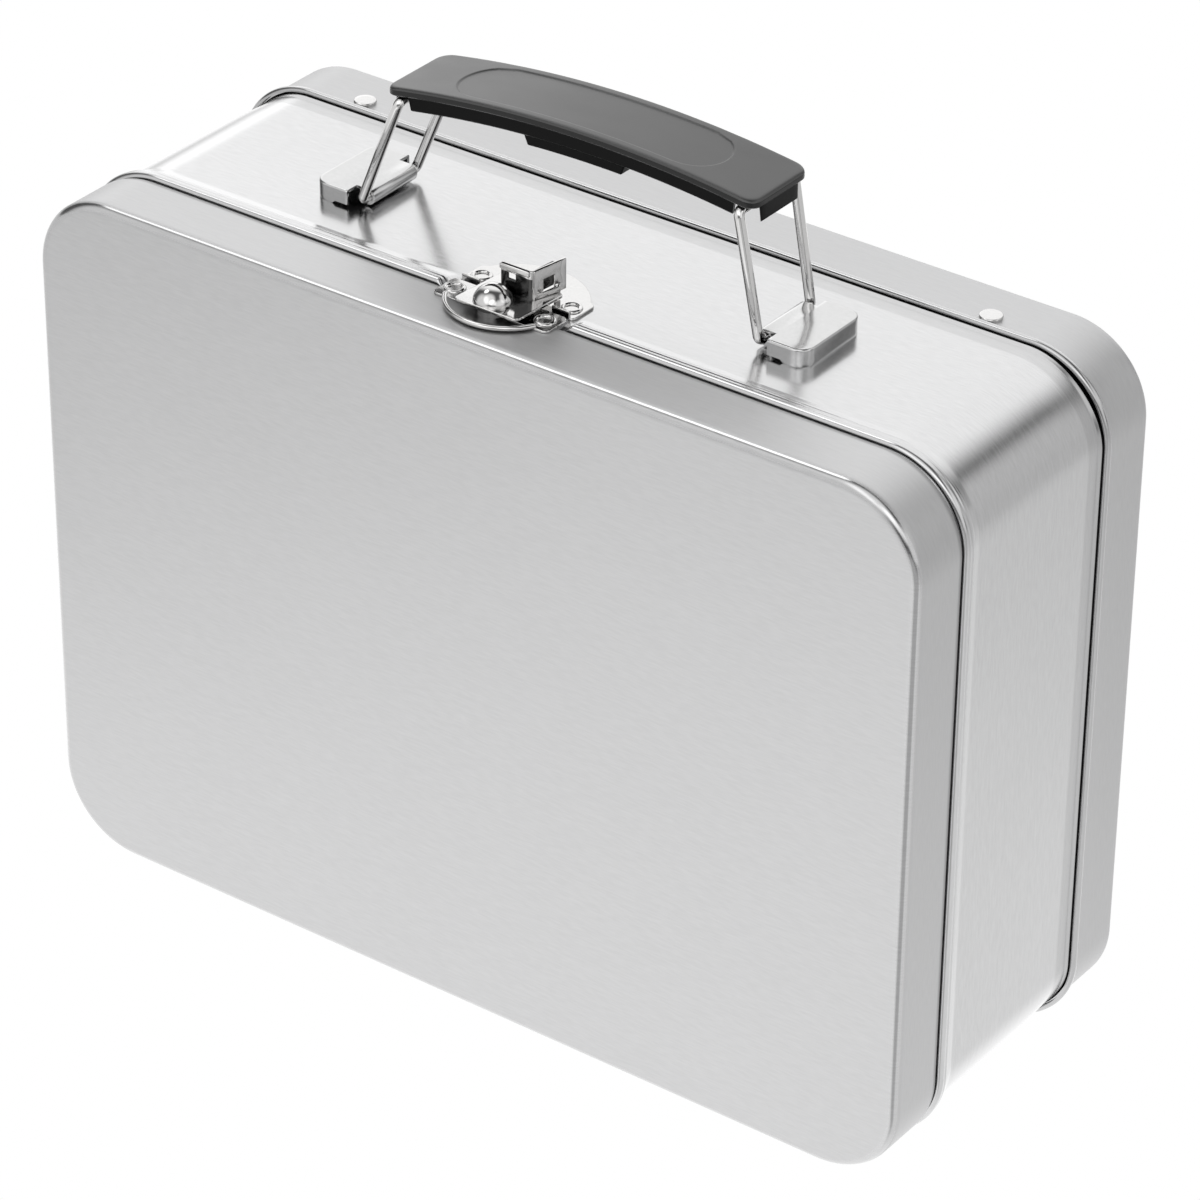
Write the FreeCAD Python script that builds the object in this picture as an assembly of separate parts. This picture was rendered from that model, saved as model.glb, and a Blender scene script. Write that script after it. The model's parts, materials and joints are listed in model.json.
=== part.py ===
"""Suitcase-style metal lunch box: sheet-metal case, hinged front lid, turn latch and wire-bail handle.

Frame: millimetres, +X to the right, +Y to the back, +Z up. The origin is on the floor, under the
middle of the closed case. The lid is shut and the latch is turned free.
"""
import FreeCAD, Part
import math
import os

V = FreeCAD.Vector
UP = V(0, 0, 1)
ALONG_X = V(1, 0, 0)
ALONG_Y = V(0, 1, 0)

# Case: a rounded tube of sheet, outside sizes
BODY_W = 198.2
BODY_H = 144.6
BODY_R = 16.3
CASE_DEPTH = 76.5
SHEET = 0.4
PAN_EDGE_R = 2.0

# Front bead of the body, the stop that the lid closes against
BEAD_W = 2.7
BEAD_H = 1.5
BEAD_ROUND = 1.2
COLLAR_DEPTH = 6.0
HEM_DEPTH = 3.0

# Front lid
LID_DEPTH = 14.0
LID_CLEAR = 0.5
LID_GAP = 0.7

# Back cover and its rivets
COVER_DEPTH = 15.6
COVER_CLEAR = 0.1
COVER_LAP = 9.0
RIM_W = 1.4
RIM_H = 1.45
RIM_GAP = 0.8
RIM_ROUND = 0.55
RIVET_SPACING = 144.0
RIVET_INSET = 3.9
RIVET_HEAD_R = 2.25
RIVET_HEAD_H = 0.7
RIVET_SHANK_R = 1.2
RIVET_TAIL_R = 1.8
RIVET_TAIL_H = 0.4
RIVET_CLEAR = 0.05

# Lid hinges, under the front seam
HINGE_SPACING = 110.0
HINGE_W = 24.0
HINGE_LEAF = 0.4
HINGE_LEAF_LENGTH = 10.0
HINGE_KNUCKLE_GAP = 0.3
HINGE_SET_BACK = 0.05
HINGE_NOTCH_CLEAR = 0.35
HINGE_BEAD_RELIEF = 1.8
PIN_CLEAR = 0.05

# Handle mount caps
KNUCKLE_SPAN = 90.3
CAP_LENGTH = 10.8
CAP_W = 19.0
CAP_H = 3.6
CAP_SHEET = 0.6
CAP_CORNER_R = 3.2
CAP_TOP_ROUND = 0.5
CAP_NOTCH_X = 2.6
CAP_RELIEF_H = 0.6
CAP_RELIEF_LENGTH = 5.6
TAB_W = 3.0
TAB_INSET = 4.2
TAB_FOOT = 2.2
TAB_CLEAR = 0.1
KNUCKLE_LENGTH = 12.9

# Wire bails
WIRE_R = 1.0
WIRE_CLEAR = 0.05
BAIL_LENGTH = 25.2
BAIL_LEAN_LEFT = 22.2
BAIL_BOTTOM_W = 16.4
BAIL_TOP_W = 17.4
BAIL_BEND_R = 1.2
BAIL_BUTT_GAP = 0.6

# Grip
GRIP_LENGTH = 82.5
GRIP_W = 18.0
GRIP_ARCH = 3.5
GRIP_PIVOT_INSET = 3.25
GRIP_RIM = 1.7
GRIP_RIM_ROUND = 0.7
GRIP_CORNER_R = 2.6
GRIP_SKIRT_H = 3.4
GRIP_SIDE_INSET = 1.6
GRIP_END_INSET = 0.4
GRIP_WALL = 1.1
GRIP_WIRE_HEADROOM = 0.2
GRIP_SLOT_OUT = 1.35
GRIP_SLOT_IN = 0.3
RIDGE_LENGTH = 56.0
RIDGE_W = 14.4
RIDGE_LINE = 0.6
RIDGE_H = 0.3
INSERT_LENGTH = 66.0
INSERT_PLATE = 1.2
INSERT_CLEAR = 0.1
INSERT_BLOCK_LENGTH = 23.0
INSERT_BLOCK_H = 2.5
INSERT_BLOCK_SLOPE = 2.5

# Latch
LATCH_X = -0.5
LATCH_PLATE = 0.5
LATCH_EAR_SPAN = 26.0
LATCH_EAR_R = 1.2
LATCH_FRONT_R = 12.0
LATCH_FRONT_RIM = 0.5
LATCH_FRONT_EAR = 6.8
LATCH_DISC_SET_FORWARD = 1.0
LATCH_REAR_R = 13.8
LATCH_REAR_EAR = 7.2
LATCH_PLATE_GAP = 1.2
LATCH_BEAD_GAP = 1.0
TONGUE_LENGTH = 3.2
EYELET_SPAN = 20.4
EYELET_SET_BACK = 3.4
EYELET_R = 1.9
EYELET_BORE_R = 1.0
EYELET_SHANK_R = 1.35
EYELET_H = 0.4
EYELET_TAIL_H = 0.25
EYELET_ROUND = 0.32
LIP_FROM_CENTRE = 8.2
LIP_LENGTH = 4.0
LIP_H = 1.4
LIP_SHEET = 0.5
TURN_PLATE_W = 14.6
TURN_PLATE_FRONT = 3.6
TURN_PLATE_BACK = 10.6
TURN_PLATE_SHEET = 0.6
TURN_PLATE_CORNER_R = 1.0
TURN_CLEAR = 0.25
PIVOT_SET_FORWARD = 2.2
PIVOT_DOME_R = 3.5
PIVOT_DOME_H = 2.6
PIVOT_SHANK_R = 1.5
PIVOT_TAIL_R = 2.2
PIVOT_TAIL_H = 0.45
PIVOT_CLEAR = 0.05
BOSS_R = 3.4
THUMB_H = 6.2
THUMB_SHEET = 0.6
THUMB_FRONT = 3.9
THUMB_BACK = 12.4
THUMB_X = 6.0
THUMB_WIDTH = 7.2
THUMB_HOLE_W = 2.6
THUMB_HOLE_H = 2.6
PRONG_LENGTH = 1.4
PRONG_OVERLAP = 0.75

# Places worked out from the sizes above
LID_OUT = LID_CLEAR + SHEET
COVER_OUT = COVER_CLEAR + SHEET
BOTTOM = max(BEAD_H, RIM_H)
TOP = BOTTOM + BODY_H
FRONT = -CASE_DEPTH / 2
BACK = CASE_DEPTH / 2
LID_RIM = FRONT + LID_DEPTH
BEAD_FRONT = LID_RIM + LID_GAP
BEAD_BACK = BEAD_FRONT + BEAD_W
COLLAR_FRONT = LID_RIM - COLLAR_DEPTH
COVER_RIM = BACK - COVER_DEPTH
BAND_BACK = COVER_RIM + COVER_LAP
PAST = 5.0
OVER = 1.0
HAIR = 0.01
SAME = 1e-6

HINGE_BORE_R = (SHEET + LID_OUT) / 2
HINGE_R = HINGE_BORE_R + HINGE_LEAF
HINGE_Y = LID_RIM - HINGE_SET_BACK
HINGE_Z = BOTTOM + SHEET - HINGE_BORE_R

GRIP_PIVOT_SPAN = GRIP_LENGTH - 2 * GRIP_PIVOT_INSET
KNUCKLE_BORE_R = WIRE_R + WIRE_CLEAR
KNUCKLE_R = KNUCKLE_BORE_R + CAP_SHEET
KNUCKLE_Z = TOP + CAP_H - KNUCKLE_R


def box(x0, x1, y0, y1, z0, z1):
    """Block between two corners."""
    return Part.makeBox(x1 - x0, y1 - y0, z1 - z0, V(x0, y0, z0))


def post(x, y, z0, z1, radius):
    """Upright round bar."""
    return Part.makeCylinder(radius, z1 - z0, V(x, y, z0), UP)


def ring_wire(points):
    """Closed wire through points: a pair joins by a line, and a point marked as a middle makes an arc."""
    edges = []
    for start, middle, end in points:
        if middle is None:
            edges.append(Part.makeLine(start, end))
        else:
            edges.append(Part.Arc(start, middle, end).toShape())
    return Part.Wire(edges)


def rounded_rectangle(x0, x1, v0, v1, radius, place):
    """Face of a rectangle with round corners; place turns two flat coordinates into a point."""
    short = radius * (1 - math.sqrt(0.5))
    pieces = [
        (place(x0 + radius, v0), None, place(x1 - radius, v0)),
        (place(x1 - radius, v0), place(x1 - short, v0 + short), place(x1, v0 + radius)),
        (place(x1, v0 + radius), None, place(x1, v1 - radius)),
        (place(x1, v1 - radius), place(x1 - short, v1 - short), place(x1 - radius, v1)),
        (place(x1 - radius, v1), None, place(x0 + radius, v1)),
        (place(x0 + radius, v1), place(x0 + short, v1 - short), place(x0, v1 - radius)),
        (place(x0, v1 - radius), None, place(x0, v0 + radius)),
        (place(x0, v0 + radius), place(x0 + short, v0 + short), place(x0 + radius, v0)),
    ]
    return Part.Face(ring_wire(pieces))


def case_slab(grow, y0, y1, front_round=0.0, back_round=0.0):
    """Solid with the body's outline grown outwards, between two depths, with rounded front or back edges."""
    half = BODY_W / 2 + grow
    face = rounded_rectangle(-half, half, BOTTOM - grow, TOP + grow, BODY_R + grow, lambda u, v: V(u, y0, v))
    solid = face.extrude(V(0, y1 - y0, 0))
    for depth, radius in ((y0, front_round), (y1, back_round)):
        if radius > 0:
            rim = [edge for edge in solid.Edges if all(abs(v.Y - depth) < SAME for v in edge.Vertexes)]
            solid = solid.makeFillet(radius, rim)
    return solid


def latch_zone(y0, y1, z0, z1):
    """Block over the latch, where the bead is pressed flat."""
    half = LATCH_EAR_SPAN / 2 + LATCH_BEAD_GAP
    return box(LATCH_X - half, LATCH_X + half, y0, y1, z0, z1)


def save(name, shape):
    """Write one node."""
    shape.exportStep("parts/" + name + ".step")


os.makedirs("parts", exist_ok=True)


def hinge_notch(y0, y1, z0, z1):
    """Blocks that clear both hinges' knuckles."""
    half = HINGE_W / 2 + HINGE_NOTCH_CLEAR
    blocks = [box(side * HINGE_SPACING / 2 - half, side * HINGE_SPACING / 2 + half, y0, y1, z0, z1)
              for side in (-1, 1)]
    return blocks[0].fuse(blocks[1])


def rivet_places():
    """Rivet centres on the top and bottom of the cover: x, outer face height and outward direction."""
    for side in (-1, 1):
        yield side * RIVET_SPACING / 2, TOP + COVER_OUT, 1
        yield side * RIVET_SPACING / 2, BOTTOM - COVER_OUT, -1


RIVET_Y = COVER_RIM + RIVET_INSET


def rivet_holes(shape):
    """Drill the cover rivet holes through a wall."""
    for x, z, out in rivet_places():
        hole = Part.makeCylinder(RIVET_SHANK_R + RIVET_CLEAR, 2 * PAST, V(x, RIVET_Y, z - PAST), UP)
        shape = shape.cut(hole)
    return shape


EYELET_FRONT_Y = LID_RIM + TONGUE_LENGTH - EYELET_SET_BACK
REAR_PLATE_FRONT = LID_RIM + TONGUE_LENGTH + LATCH_PLATE_GAP
EYELET_REAR_Y = REAR_PLATE_FRONT + EYELET_SET_BACK


def eyelet_holes(shape, y):
    """Drill the two eyelet holes of a latch plate."""
    for side in (-1, 1):
        x = LATCH_X + side * EYELET_SPAN / 2
        shape = shape.cut(post(x, y, TOP - PAST, TOP + PAST, EYELET_SHANK_R + RIVET_CLEAR))
    return shape


def tab_places():
    """Clinch tabs of the mount caps: cap side, middle x and the wall (front -1, back +1) it hangs from."""
    for cap in (-1, 1):
        x = cap * (KNUCKLE_SPAN / 2 + CAP_LENGTH - TAB_INSET)
        for wall in (-1, 1):
            yield cap, x, wall


def tab_block(x, wall, z0, z1, spare):
    """Upright part of a clinch tab, in line with the cap's wall."""
    outer = CAP_W / 2
    y0, y1 = sorted((wall * (outer - CAP_SHEET), wall * outer))
    return box(x - TAB_W / 2 - spare, x + TAB_W / 2 + spare, y0 - spare, y1 + spare, z0, z1)


def body_band():
    """Sheet tube with a hollow front bead, a hemmed collar inside the lid and a lap inside the back cover."""
    wall = case_slab(0, COLLAR_FRONT, BAND_BACK)
    bead = case_slab(BEAD_H, BEAD_FRONT, BEAD_BACK, BEAD_ROUND, BEAD_ROUND)
    hollow = case_slab(BEAD_H - SHEET, BEAD_FRONT + SHEET, BEAD_BACK - SHEET,
                       BEAD_ROUND - SHEET, BEAD_ROUND - SHEET)
    flat = latch_zone(BEAD_FRONT - OVER, BEAD_BACK + OVER, TOP - 2 * SHEET, TOP + PAST)
    bead = bead.cut(flat)
    hollow = hollow.cut(flat)
    bore = case_slab(-SHEET, COLLAR_FRONT + HEM_DEPTH, BAND_BACK + OVER)
    hem_bore = case_slab(-2 * SHEET, COLLAR_FRONT - OVER, COLLAR_FRONT + HEM_DEPTH + OVER)
    band = wall.fuse(bead).cut(bore).cut(hem_bore).cut(hollow)
    band = band.cut(hinge_notch(COLLAR_FRONT - OVER, HINGE_Y + HINGE_BEAD_RELIEF, -OVER, BOTTOM + 3 * SHEET))
    band = rivet_holes(band)
    band = eyelet_holes(band, EYELET_REAR_Y)
    for cap, x, tab_wall in tab_places():
        band = band.cut(tab_block(x, tab_wall, TOP - PAST, TOP + OVER, TAB_CLEAR))
    return band


def front_lid():
    """Shallow pan that slips over the collar, with a tongue that carries the latch's front plate."""
    pan = case_slab(LID_OUT, FRONT, LID_RIM, PAN_EDGE_R)
    half = LATCH_EAR_SPAN / 2
    tongue = box(LATCH_X - half, LATCH_X + half, LID_RIM - OVER, LID_RIM + TONGUE_LENGTH,
                 TOP + LID_CLEAR, TOP + LID_OUT)
    inside = case_slab(LID_CLEAR, FRONT + SHEET, LID_RIM + OVER, PAN_EDGE_R - SHEET)
    lid = pan.cut(inside).fuse(tongue)
    lid = lid.cut(hinge_notch(HINGE_Y - HINGE_R - HINGE_NOTCH_CLEAR, LID_RIM + OVER, -OVER, BOTTOM))
    return eyelet_holes(lid, EYELET_FRONT_Y).removeSplitter()


def back_cover():
    """Pan pushed over the back of the band, with a curled rim that stands off the band."""
    pan = case_slab(COVER_OUT, COVER_RIM, BACK, 0, PAN_EDGE_R)
    rim = case_slab(RIM_H, COVER_RIM, COVER_RIM + RIM_W, RIM_ROUND, RIM_ROUND)
    inside = case_slab(COVER_CLEAR, COVER_RIM - OVER, BACK - SHEET, 0, PAN_EDGE_R - SHEET)
    curl = case_slab(RIM_GAP, COVER_RIM - OVER, COVER_RIM + RIM_W - SHEET)
    return rivet_holes(pan.fuse(rim).cut(inside).cut(curl))


def cover_rivets():
    """Four flat-headed rivets that hold the cover to the band."""
    rivets = []
    inner = COVER_OUT + SHEET
    for x, z, out in rivet_places():
        head = Part.makeCylinder(RIVET_HEAD_R, RIVET_HEAD_H, V(x, RIVET_Y, z), UP * out)
        crown = [edge for edge in head.Edges if all(abs(v.Z - z) > RIVET_HEAD_H / 2 for v in edge.Vertexes)]
        head = head.makeFillet(RIVET_HEAD_H / 2, crown)
        shank = Part.makeCylinder(RIVET_SHANK_R, inner, V(x, RIVET_Y, z), UP * -out)
        tail = Part.makeCylinder(RIVET_TAIL_R, RIVET_TAIL_H, V(x, RIVET_Y, z - out * inner), UP * -out)
        rivets.append(head.fuse(shank).fuse(tail).removeSplitter())
    return Part.makeCompound(rivets)


def hinge_leaf(side, knuckles, y0, y1, z0):
    """Flat leaf with its rolled knuckles, bored for the pin."""
    centre = side * HINGE_SPACING / 2
    half = HINGE_W / 2
    leaf = None
    for start, end in knuckles:
        x0 = centre - half + start * HINGE_W
        x1 = centre - half + end * HINGE_W
        tube = Part.makeCylinder(HINGE_R, x1 - x0, V(x0, HINGE_Y, HINGE_Z), ALONG_X)
        strip = box(x0, x1, min(y0, HINGE_Y), max(y1, HINGE_Y), z0, z0 + HINGE_LEAF)
        knuckle = tube.fuse(strip)
        leaf = knuckle if leaf is None else leaf.fuse(knuckle)
    leaf = leaf.fuse(box(centre - half, centre + half, y0, y1, z0, z0 + HINGE_LEAF))
    bore_start = V(centre - half - OVER, HINGE_Y, HINGE_Z)
    bore = Part.makeCylinder(HINGE_BORE_R, HINGE_W + 2 * OVER, bore_start, ALONG_X)
    return leaf.cut(bore).removeSplitter()


def body_leaf(side):
    """Hinge leaf inside the band's floor, with the two outer knuckles."""
    third = (1 - HINGE_KNUCKLE_GAP / HINGE_W) / 3
    start = HINGE_Y + HINGE_BEAD_RELIEF
    return hinge_leaf(side, ((0, third), (1 - third, 1)), start, start + HINGE_LEAF_LENGTH, BOTTOM + SHEET)


def lid_leaf(side):
    """Hinge leaf under the lid's floor, with the middle knuckle."""
    third = (1 - HINGE_KNUCKLE_GAP / HINGE_W) / 3
    gap = HINGE_KNUCKLE_GAP / HINGE_W
    end = HINGE_Y - HINGE_R - HINGE_NOTCH_CLEAR
    return hinge_leaf(side, ((third + gap, 1 - third - gap),), end - HINGE_LEAF_LENGTH, end,
                      BOTTOM - LID_OUT - HINGE_LEAF)


def hinge_pin(side):
    """Straight hinge pin."""
    start = side * HINGE_SPACING / 2 - HINGE_W / 2
    return Part.makeCylinder(HINGE_BORE_R - PIN_CLEAR, HINGE_W, V(start, HINGE_Y, HINGE_Z), ALONG_X)


def mount_cap(side):
    """Bright sheet cap with a rolled knuckle at its inner end and two tabs clinched under the band."""
    inner = KNUCKLE_SPAN / 2
    outer = inner + CAP_LENGTH
    half = CAP_W / 2
    reach = inner - 2 * KNUCKLE_R - CAP_CORNER_R
    shell = rounded_rectangle(reach, outer, -half, half, CAP_CORNER_R, lambda u, v: V(u, v, TOP))
    shell = shell.extrude(UP * CAP_H)
    crown = [edge for edge in shell.Edges if all(abs(v.Z - TOP - CAP_H) < SAME for v in edge.Vertexes)]
    shell = shell.makeFillet(CAP_TOP_ROUND, crown)
    hollow = rounded_rectangle(reach - PAST, outer - CAP_SHEET, -half + CAP_SHEET, half - CAP_SHEET,
                               CAP_CORNER_R - CAP_SHEET, lambda u, v: V(u, v, TOP - OVER))
    hollow = hollow.extrude(UP * (CAP_H - CAP_SHEET + OVER))
    cap = shell.cut(hollow)
    cap = cap.cut(box(reach - OVER, inner, -half - OVER, half + OVER, TOP - OVER, TOP + CAP_H + OVER))
    for wall in (-1, 1):
        y0, y1 = sorted((wall * KNUCKLE_LENGTH / 2, wall * (half + OVER)))
        cap = cap.cut(box(inner - OVER, inner + CAP_NOTCH_X, y0, y1, TOP - OVER, TOP + CAP_H + OVER))
    cap = cap.cut(box(inner, inner + CAP_RELIEF_LENGTH, -half - OVER, half + OVER,
                      TOP - OVER, TOP + CAP_RELIEF_H))
    knuckle = Part.makeCylinder(KNUCKLE_R, KNUCKLE_LENGTH, V(inner, -KNUCKLE_LENGTH / 2, KNUCKLE_Z), ALONG_Y)
    bore = Part.makeCylinder(KNUCKLE_BORE_R, CAP_W + 2 * OVER, V(inner, -half - OVER, KNUCKLE_Z), ALONG_Y)
    cap = cap.fuse(knuckle).cut(bore)
    under = TOP - SHEET
    for wall in (-1, 1):
        x = outer - TAB_INSET
        tab = tab_block(x, wall, under - CAP_SHEET, TOP + CAP_SHEET, 0)
        y0, y1 = sorted((wall * half, wall * (half - CAP_SHEET - TAB_FOOT)))
        foot = box(x - TAB_W / 2, x + TAB_W / 2, y0, y1, under - CAP_SHEET, under)
        cap = cap.fuse(tab).fuse(foot)
    cap = cap.removeSplitter()
    if side < 0:
        cap = cap.mirror(V(0, 0, 0), ALONG_X)
    return cap


def bail_tips():
    """Pivots in the XZ plane: the left tip from its bail's lean, the right tip where grip and bail meet."""
    left_base = V(-KNUCKLE_SPAN / 2, 0, KNUCKLE_Z)
    right_base = V(KNUCKLE_SPAN / 2, 0, KNUCKLE_Z)
    lean = math.radians(BAIL_LEAN_LEFT)
    left = left_base + V(math.sin(lean), 0, math.cos(lean)) * BAIL_LENGTH
    line = right_base - left
    span = line.Length
    along = (GRIP_PIVOT_SPAN ** 2 - BAIL_LENGTH ** 2 + span ** 2) / (2 * span)
    rise = math.sqrt(GRIP_PIVOT_SPAN ** 2 - along ** 2)
    right = left + line * (along / span) + V(-line.z, 0, line.x) * (rise / span)
    return left_base, left, right_base, right


def bail(base, tip):
    """Wire bent into a closed trapezium: lower bar in the cap's knuckle, upper bar in the grip."""
    up = (tip - base).normalize()
    low = BAIL_BOTTOM_W / 2
    high = BAIL_TOP_W / 2
    gap = BAIL_BUTT_GAP / 2
    corners = [base + ALONG_Y * gap, base + ALONG_Y * low, tip + ALONG_Y * high,
               tip - ALONG_Y * high, base - ALONG_Y * low, base - ALONG_Y * gap]
    edges = []
    start = corners[0]
    for before, corner, after in zip(corners, corners[1:], corners[2:]):
        back = (before - corner).normalize()
        ahead = (after - corner).normalize()
        half_angle = back.getAngle(ahead) / 2
        trim = BAIL_BEND_R / math.tan(half_angle)
        middle = (back + ahead).normalize()
        centre = corner + middle * (BAIL_BEND_R / math.sin(half_angle))
        enter = corner + back * trim
        leave = corner + ahead * trim
        edges.append(Part.makeLine(start, enter))
        edges.append(Part.Arc(enter, centre - middle * BAIL_BEND_R, leave).toShape())
        start = leave
    edges.append(Part.makeLine(start, corners[-1]))
    section = Part.Wire(Part.makeCircle(WIRE_R, corners[0], ALONG_Y))
    return Part.Wire(edges).makePipeShell([section], True, False)


ARCH_R = (GRIP_LENGTH ** 2 / 4 + GRIP_ARCH ** 2) / (2 * GRIP_ARCH)
ARCH_DROP = math.sqrt(ARCH_R ** 2 - GRIP_LENGTH ** 2 / 4)
SKIRT_HALF_W = GRIP_W / 2 - GRIP_SIDE_INSET
PIVOT_TOP = math.sqrt(ARCH_R ** 2 - GRIP_PIVOT_SPAN ** 2 / 4) - ARCH_DROP
PIVOT_BELOW = PIVOT_TOP - GRIP_RIM - GRIP_WIRE_HEADROOM - WIRE_R


def arch(length, half_width, top, bottom):
    """Arched bar, centred on the grip: top and bottom count down from the grip's top surface."""
    half = length / 2
    outer = ARCH_R - top
    inner = ARCH_R - bottom

    def at(x, radius):
        return V(x, -half_width, math.sqrt(radius ** 2 - x ** 2) - ARCH_DROP)

    pieces = [
        (at(-half, outer), at(0, outer), at(half, outer)),
        (at(half, outer), None, at(half, inner)),
        (at(half, inner), at(0, inner), at(-half, inner)),
        (at(-half, inner), None, at(-half, outer)),
    ]
    return Part.Face(ring_wire(pieces)).extrude(V(0, 2 * half_width, 0))


def stadium(length, width, z0, z1):
    """Upright prism with a stadium outline."""
    face = rounded_rectangle(-length / 2, length / 2, -width / 2, width / 2, width / 2 - HAIR,
                             lambda u, v: V(u, v, z0))
    return face.extrude(UP * (z1 - z0))


def grip_shell():
    """Arched plastic grip: overhanging rim, hollow skirt, bail notches and a raised outline on top."""
    rim = arch(GRIP_LENGTH, GRIP_W / 2, 0, GRIP_RIM)
    corners = [edge for edge in rim.Edges
               if abs(edge.Vertexes[0].X - edge.Vertexes[-1].X) < SAME
               and abs(edge.Vertexes[0].Y - edge.Vertexes[-1].Y) < SAME]
    rim = rim.makeFillet(GRIP_CORNER_R, corners)
    top = [edge for edge in rim.Edges if edge.CenterOfMass.z > -GRIP_RIM / 4
           and abs(edge.Vertexes[0].Z - edge.Vertexes[-1].Z) < GRIP_RIM / 2
           and all(abs(math.hypot(v.X, v.Z + ARCH_DROP) - ARCH_R) < HAIR for v in edge.Vertexes)]
    rim = rim.makeFillet(GRIP_RIM_ROUND, top)
    skirt_length = GRIP_LENGTH - 2 * GRIP_END_INSET
    skirt = arch(skirt_length, SKIRT_HALF_W, GRIP_RIM, GRIP_RIM + GRIP_SKIRT_H)
    cavity = arch(skirt_length - 2 * GRIP_WALL, SKIRT_HALF_W - GRIP_WALL,
                  GRIP_RIM, GRIP_RIM + GRIP_SKIRT_H + OVER)
    ridge = stadium(RIDGE_LENGTH, RIDGE_W, -PAST, PAST + GRIP_ARCH)
    ridge = ridge.cut(stadium(RIDGE_LENGTH - 2 * RIDGE_LINE, RIDGE_W - 2 * RIDGE_LINE,
                              -2 * PAST, 2 * PAST + GRIP_ARCH))
    ridge = ridge.common(arch(GRIP_LENGTH, GRIP_W / 2, -RIDGE_H, RIDGE_H))
    shell = rim.fuse(ridge).fuse(skirt.cut(cavity))
    for side in (-1, 1):
        x = side * GRIP_PIVOT_SPAN / 2
        notch = Part.makeCylinder(KNUCKLE_BORE_R, GRIP_W, V(x, -GRIP_W / 2, PIVOT_BELOW), ALONG_Y)
        x0 = x - KNUCKLE_BORE_R
        x1 = x + KNUCKLE_BORE_R
        if side > 0:
            x0 = x - WIRE_R - GRIP_SLOT_IN
            x1 = x + WIRE_R + GRIP_SLOT_OUT
            roof = PIVOT_BELOW + WIRE_R + GRIP_WIRE_HEADROOM
            notch = box(x0, x1, -GRIP_W / 2, GRIP_W / 2, PIVOT_BELOW, roof)
        notch = notch.fuse(box(x0, x1, -GRIP_W / 2, GRIP_W / 2, PIVOT_BELOW - PAST, PIVOT_BELOW))
        shell = shell.cut(notch)
    return shell.removeSplitter()


def grip_insert():
    """Plastic strip pushed into the grip from below, with a stepped block in the middle."""
    half = SKIRT_HALF_W - GRIP_WALL - INSERT_CLEAR
    low = GRIP_RIM + GRIP_SKIRT_H
    plate = arch(INSERT_LENGTH, half, low - INSERT_PLATE, low)
    block = arch(INSERT_BLOCK_LENGTH, half, low - INSERT_PLATE, low + INSERT_BLOCK_H)
    ends = []
    reach = INSERT_BLOCK_LENGTH / 2
    floor = GRIP_ARCH - low - INSERT_BLOCK_H - OVER
    step = GRIP_ARCH - low - reach ** 2 / (2 * ARCH_R)
    for side in (-1, 1):
        outer_low = V(side * (reach + OVER), -half - OVER, floor)
        inner_low = V(side * (reach - INSERT_BLOCK_SLOPE), -half - OVER, floor)
        inner_high = V(side * reach, -half - OVER, step)
        outer_high = V(side * (reach + OVER), -half - OVER, step)
        slope = Part.makePolygon([outer_low, inner_low, inner_high, outer_high, outer_low])
        ends.append(Part.Face(slope).extrude(V(0, 2 * half + 2 * OVER, 0)))
    for end in ends:
        block = block.cut(end)
    return plate.fuse(block).removeSplitter()


def on_bails(shape, left, right):
    """Carry a grip piece from its own frame to where the two bails hold it."""
    line = right - left
    tilt = math.degrees(math.atan2(line.z, line.x))
    shape.translate(V(GRIP_PIVOT_SPAN / 2, 0, -PIVOT_BELOW))
    shape.rotate(V(0, 0, 0), ALONG_Y, -tilt)
    shape.translate(left)
    return shape


LID_TOP = TOP + LID_OUT
PIVOT_Y = LID_RIM - PIVOT_SET_FORWARD
DISC_Y = LID_RIM + TONGUE_LENGTH - LATCH_DISC_SET_FORWARD
FRONT_PLATE_TOP = LID_TOP + LATCH_PLATE
REAR_PLATE_TOP = TOP + LATCH_PLATE
TURN_BOTTOM = FRONT_PLATE_TOP + 2 * LATCH_FRONT_RIM + TURN_CLEAR
TURN_TOP = TURN_BOTTOM + TURN_PLATE_SHEET


def latch_front_plate():
    """Half-round plate on the lid's tongue: two ears, a rolled arc rim and a boss under the pivot."""
    half = LATCH_EAR_SPAN / 2
    back = LID_RIM + TONGUE_LENGTH
    ears = rounded_rectangle(LATCH_X - half, LATCH_X + half, back - LATCH_FRONT_EAR, back, LATCH_EAR_R,
                             lambda u, v: V(u, v, LID_TOP)).extrude(UP * LATCH_PLATE)
    disc = post(LATCH_X, DISC_Y, LID_TOP, FRONT_PLATE_TOP, LATCH_FRONT_R)
    ear_front = back - LATCH_FRONT_EAR
    bow = box(LATCH_X - half, LATCH_X + half, DISC_Y - LATCH_FRONT_R - OVER, ear_front,
              LID_TOP - OVER, TOP + PAST)
    centre = V(LATCH_X, DISC_Y, FRONT_PLATE_TOP)
    rim = Part.makeTorus(LATCH_FRONT_R - LATCH_FRONT_RIM, LATCH_FRONT_RIM, centre + UP * LATCH_FRONT_RIM / 2)
    plate = disc.fuse(rim).common(bow).fuse(ears)
    plate = plate.fuse(post(LATCH_X, PIVOT_Y, LID_TOP, TURN_BOTTOM - TURN_CLEAR, BOSS_R))
    plate = plate.cut(post(LATCH_X, PIVOT_Y, LID_TOP - OVER, LID_TOP + PIVOT_TAIL_H + RIVET_CLEAR,
                           PIVOT_TAIL_R + RIVET_CLEAR))
    plate = plate.cut(post(LATCH_X, PIVOT_Y, LID_TOP - OVER, TOP + PAST, PIVOT_SHANK_R + PIVOT_CLEAR))
    return eyelet_holes(plate, EYELET_FRONT_Y).removeSplitter()


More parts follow.
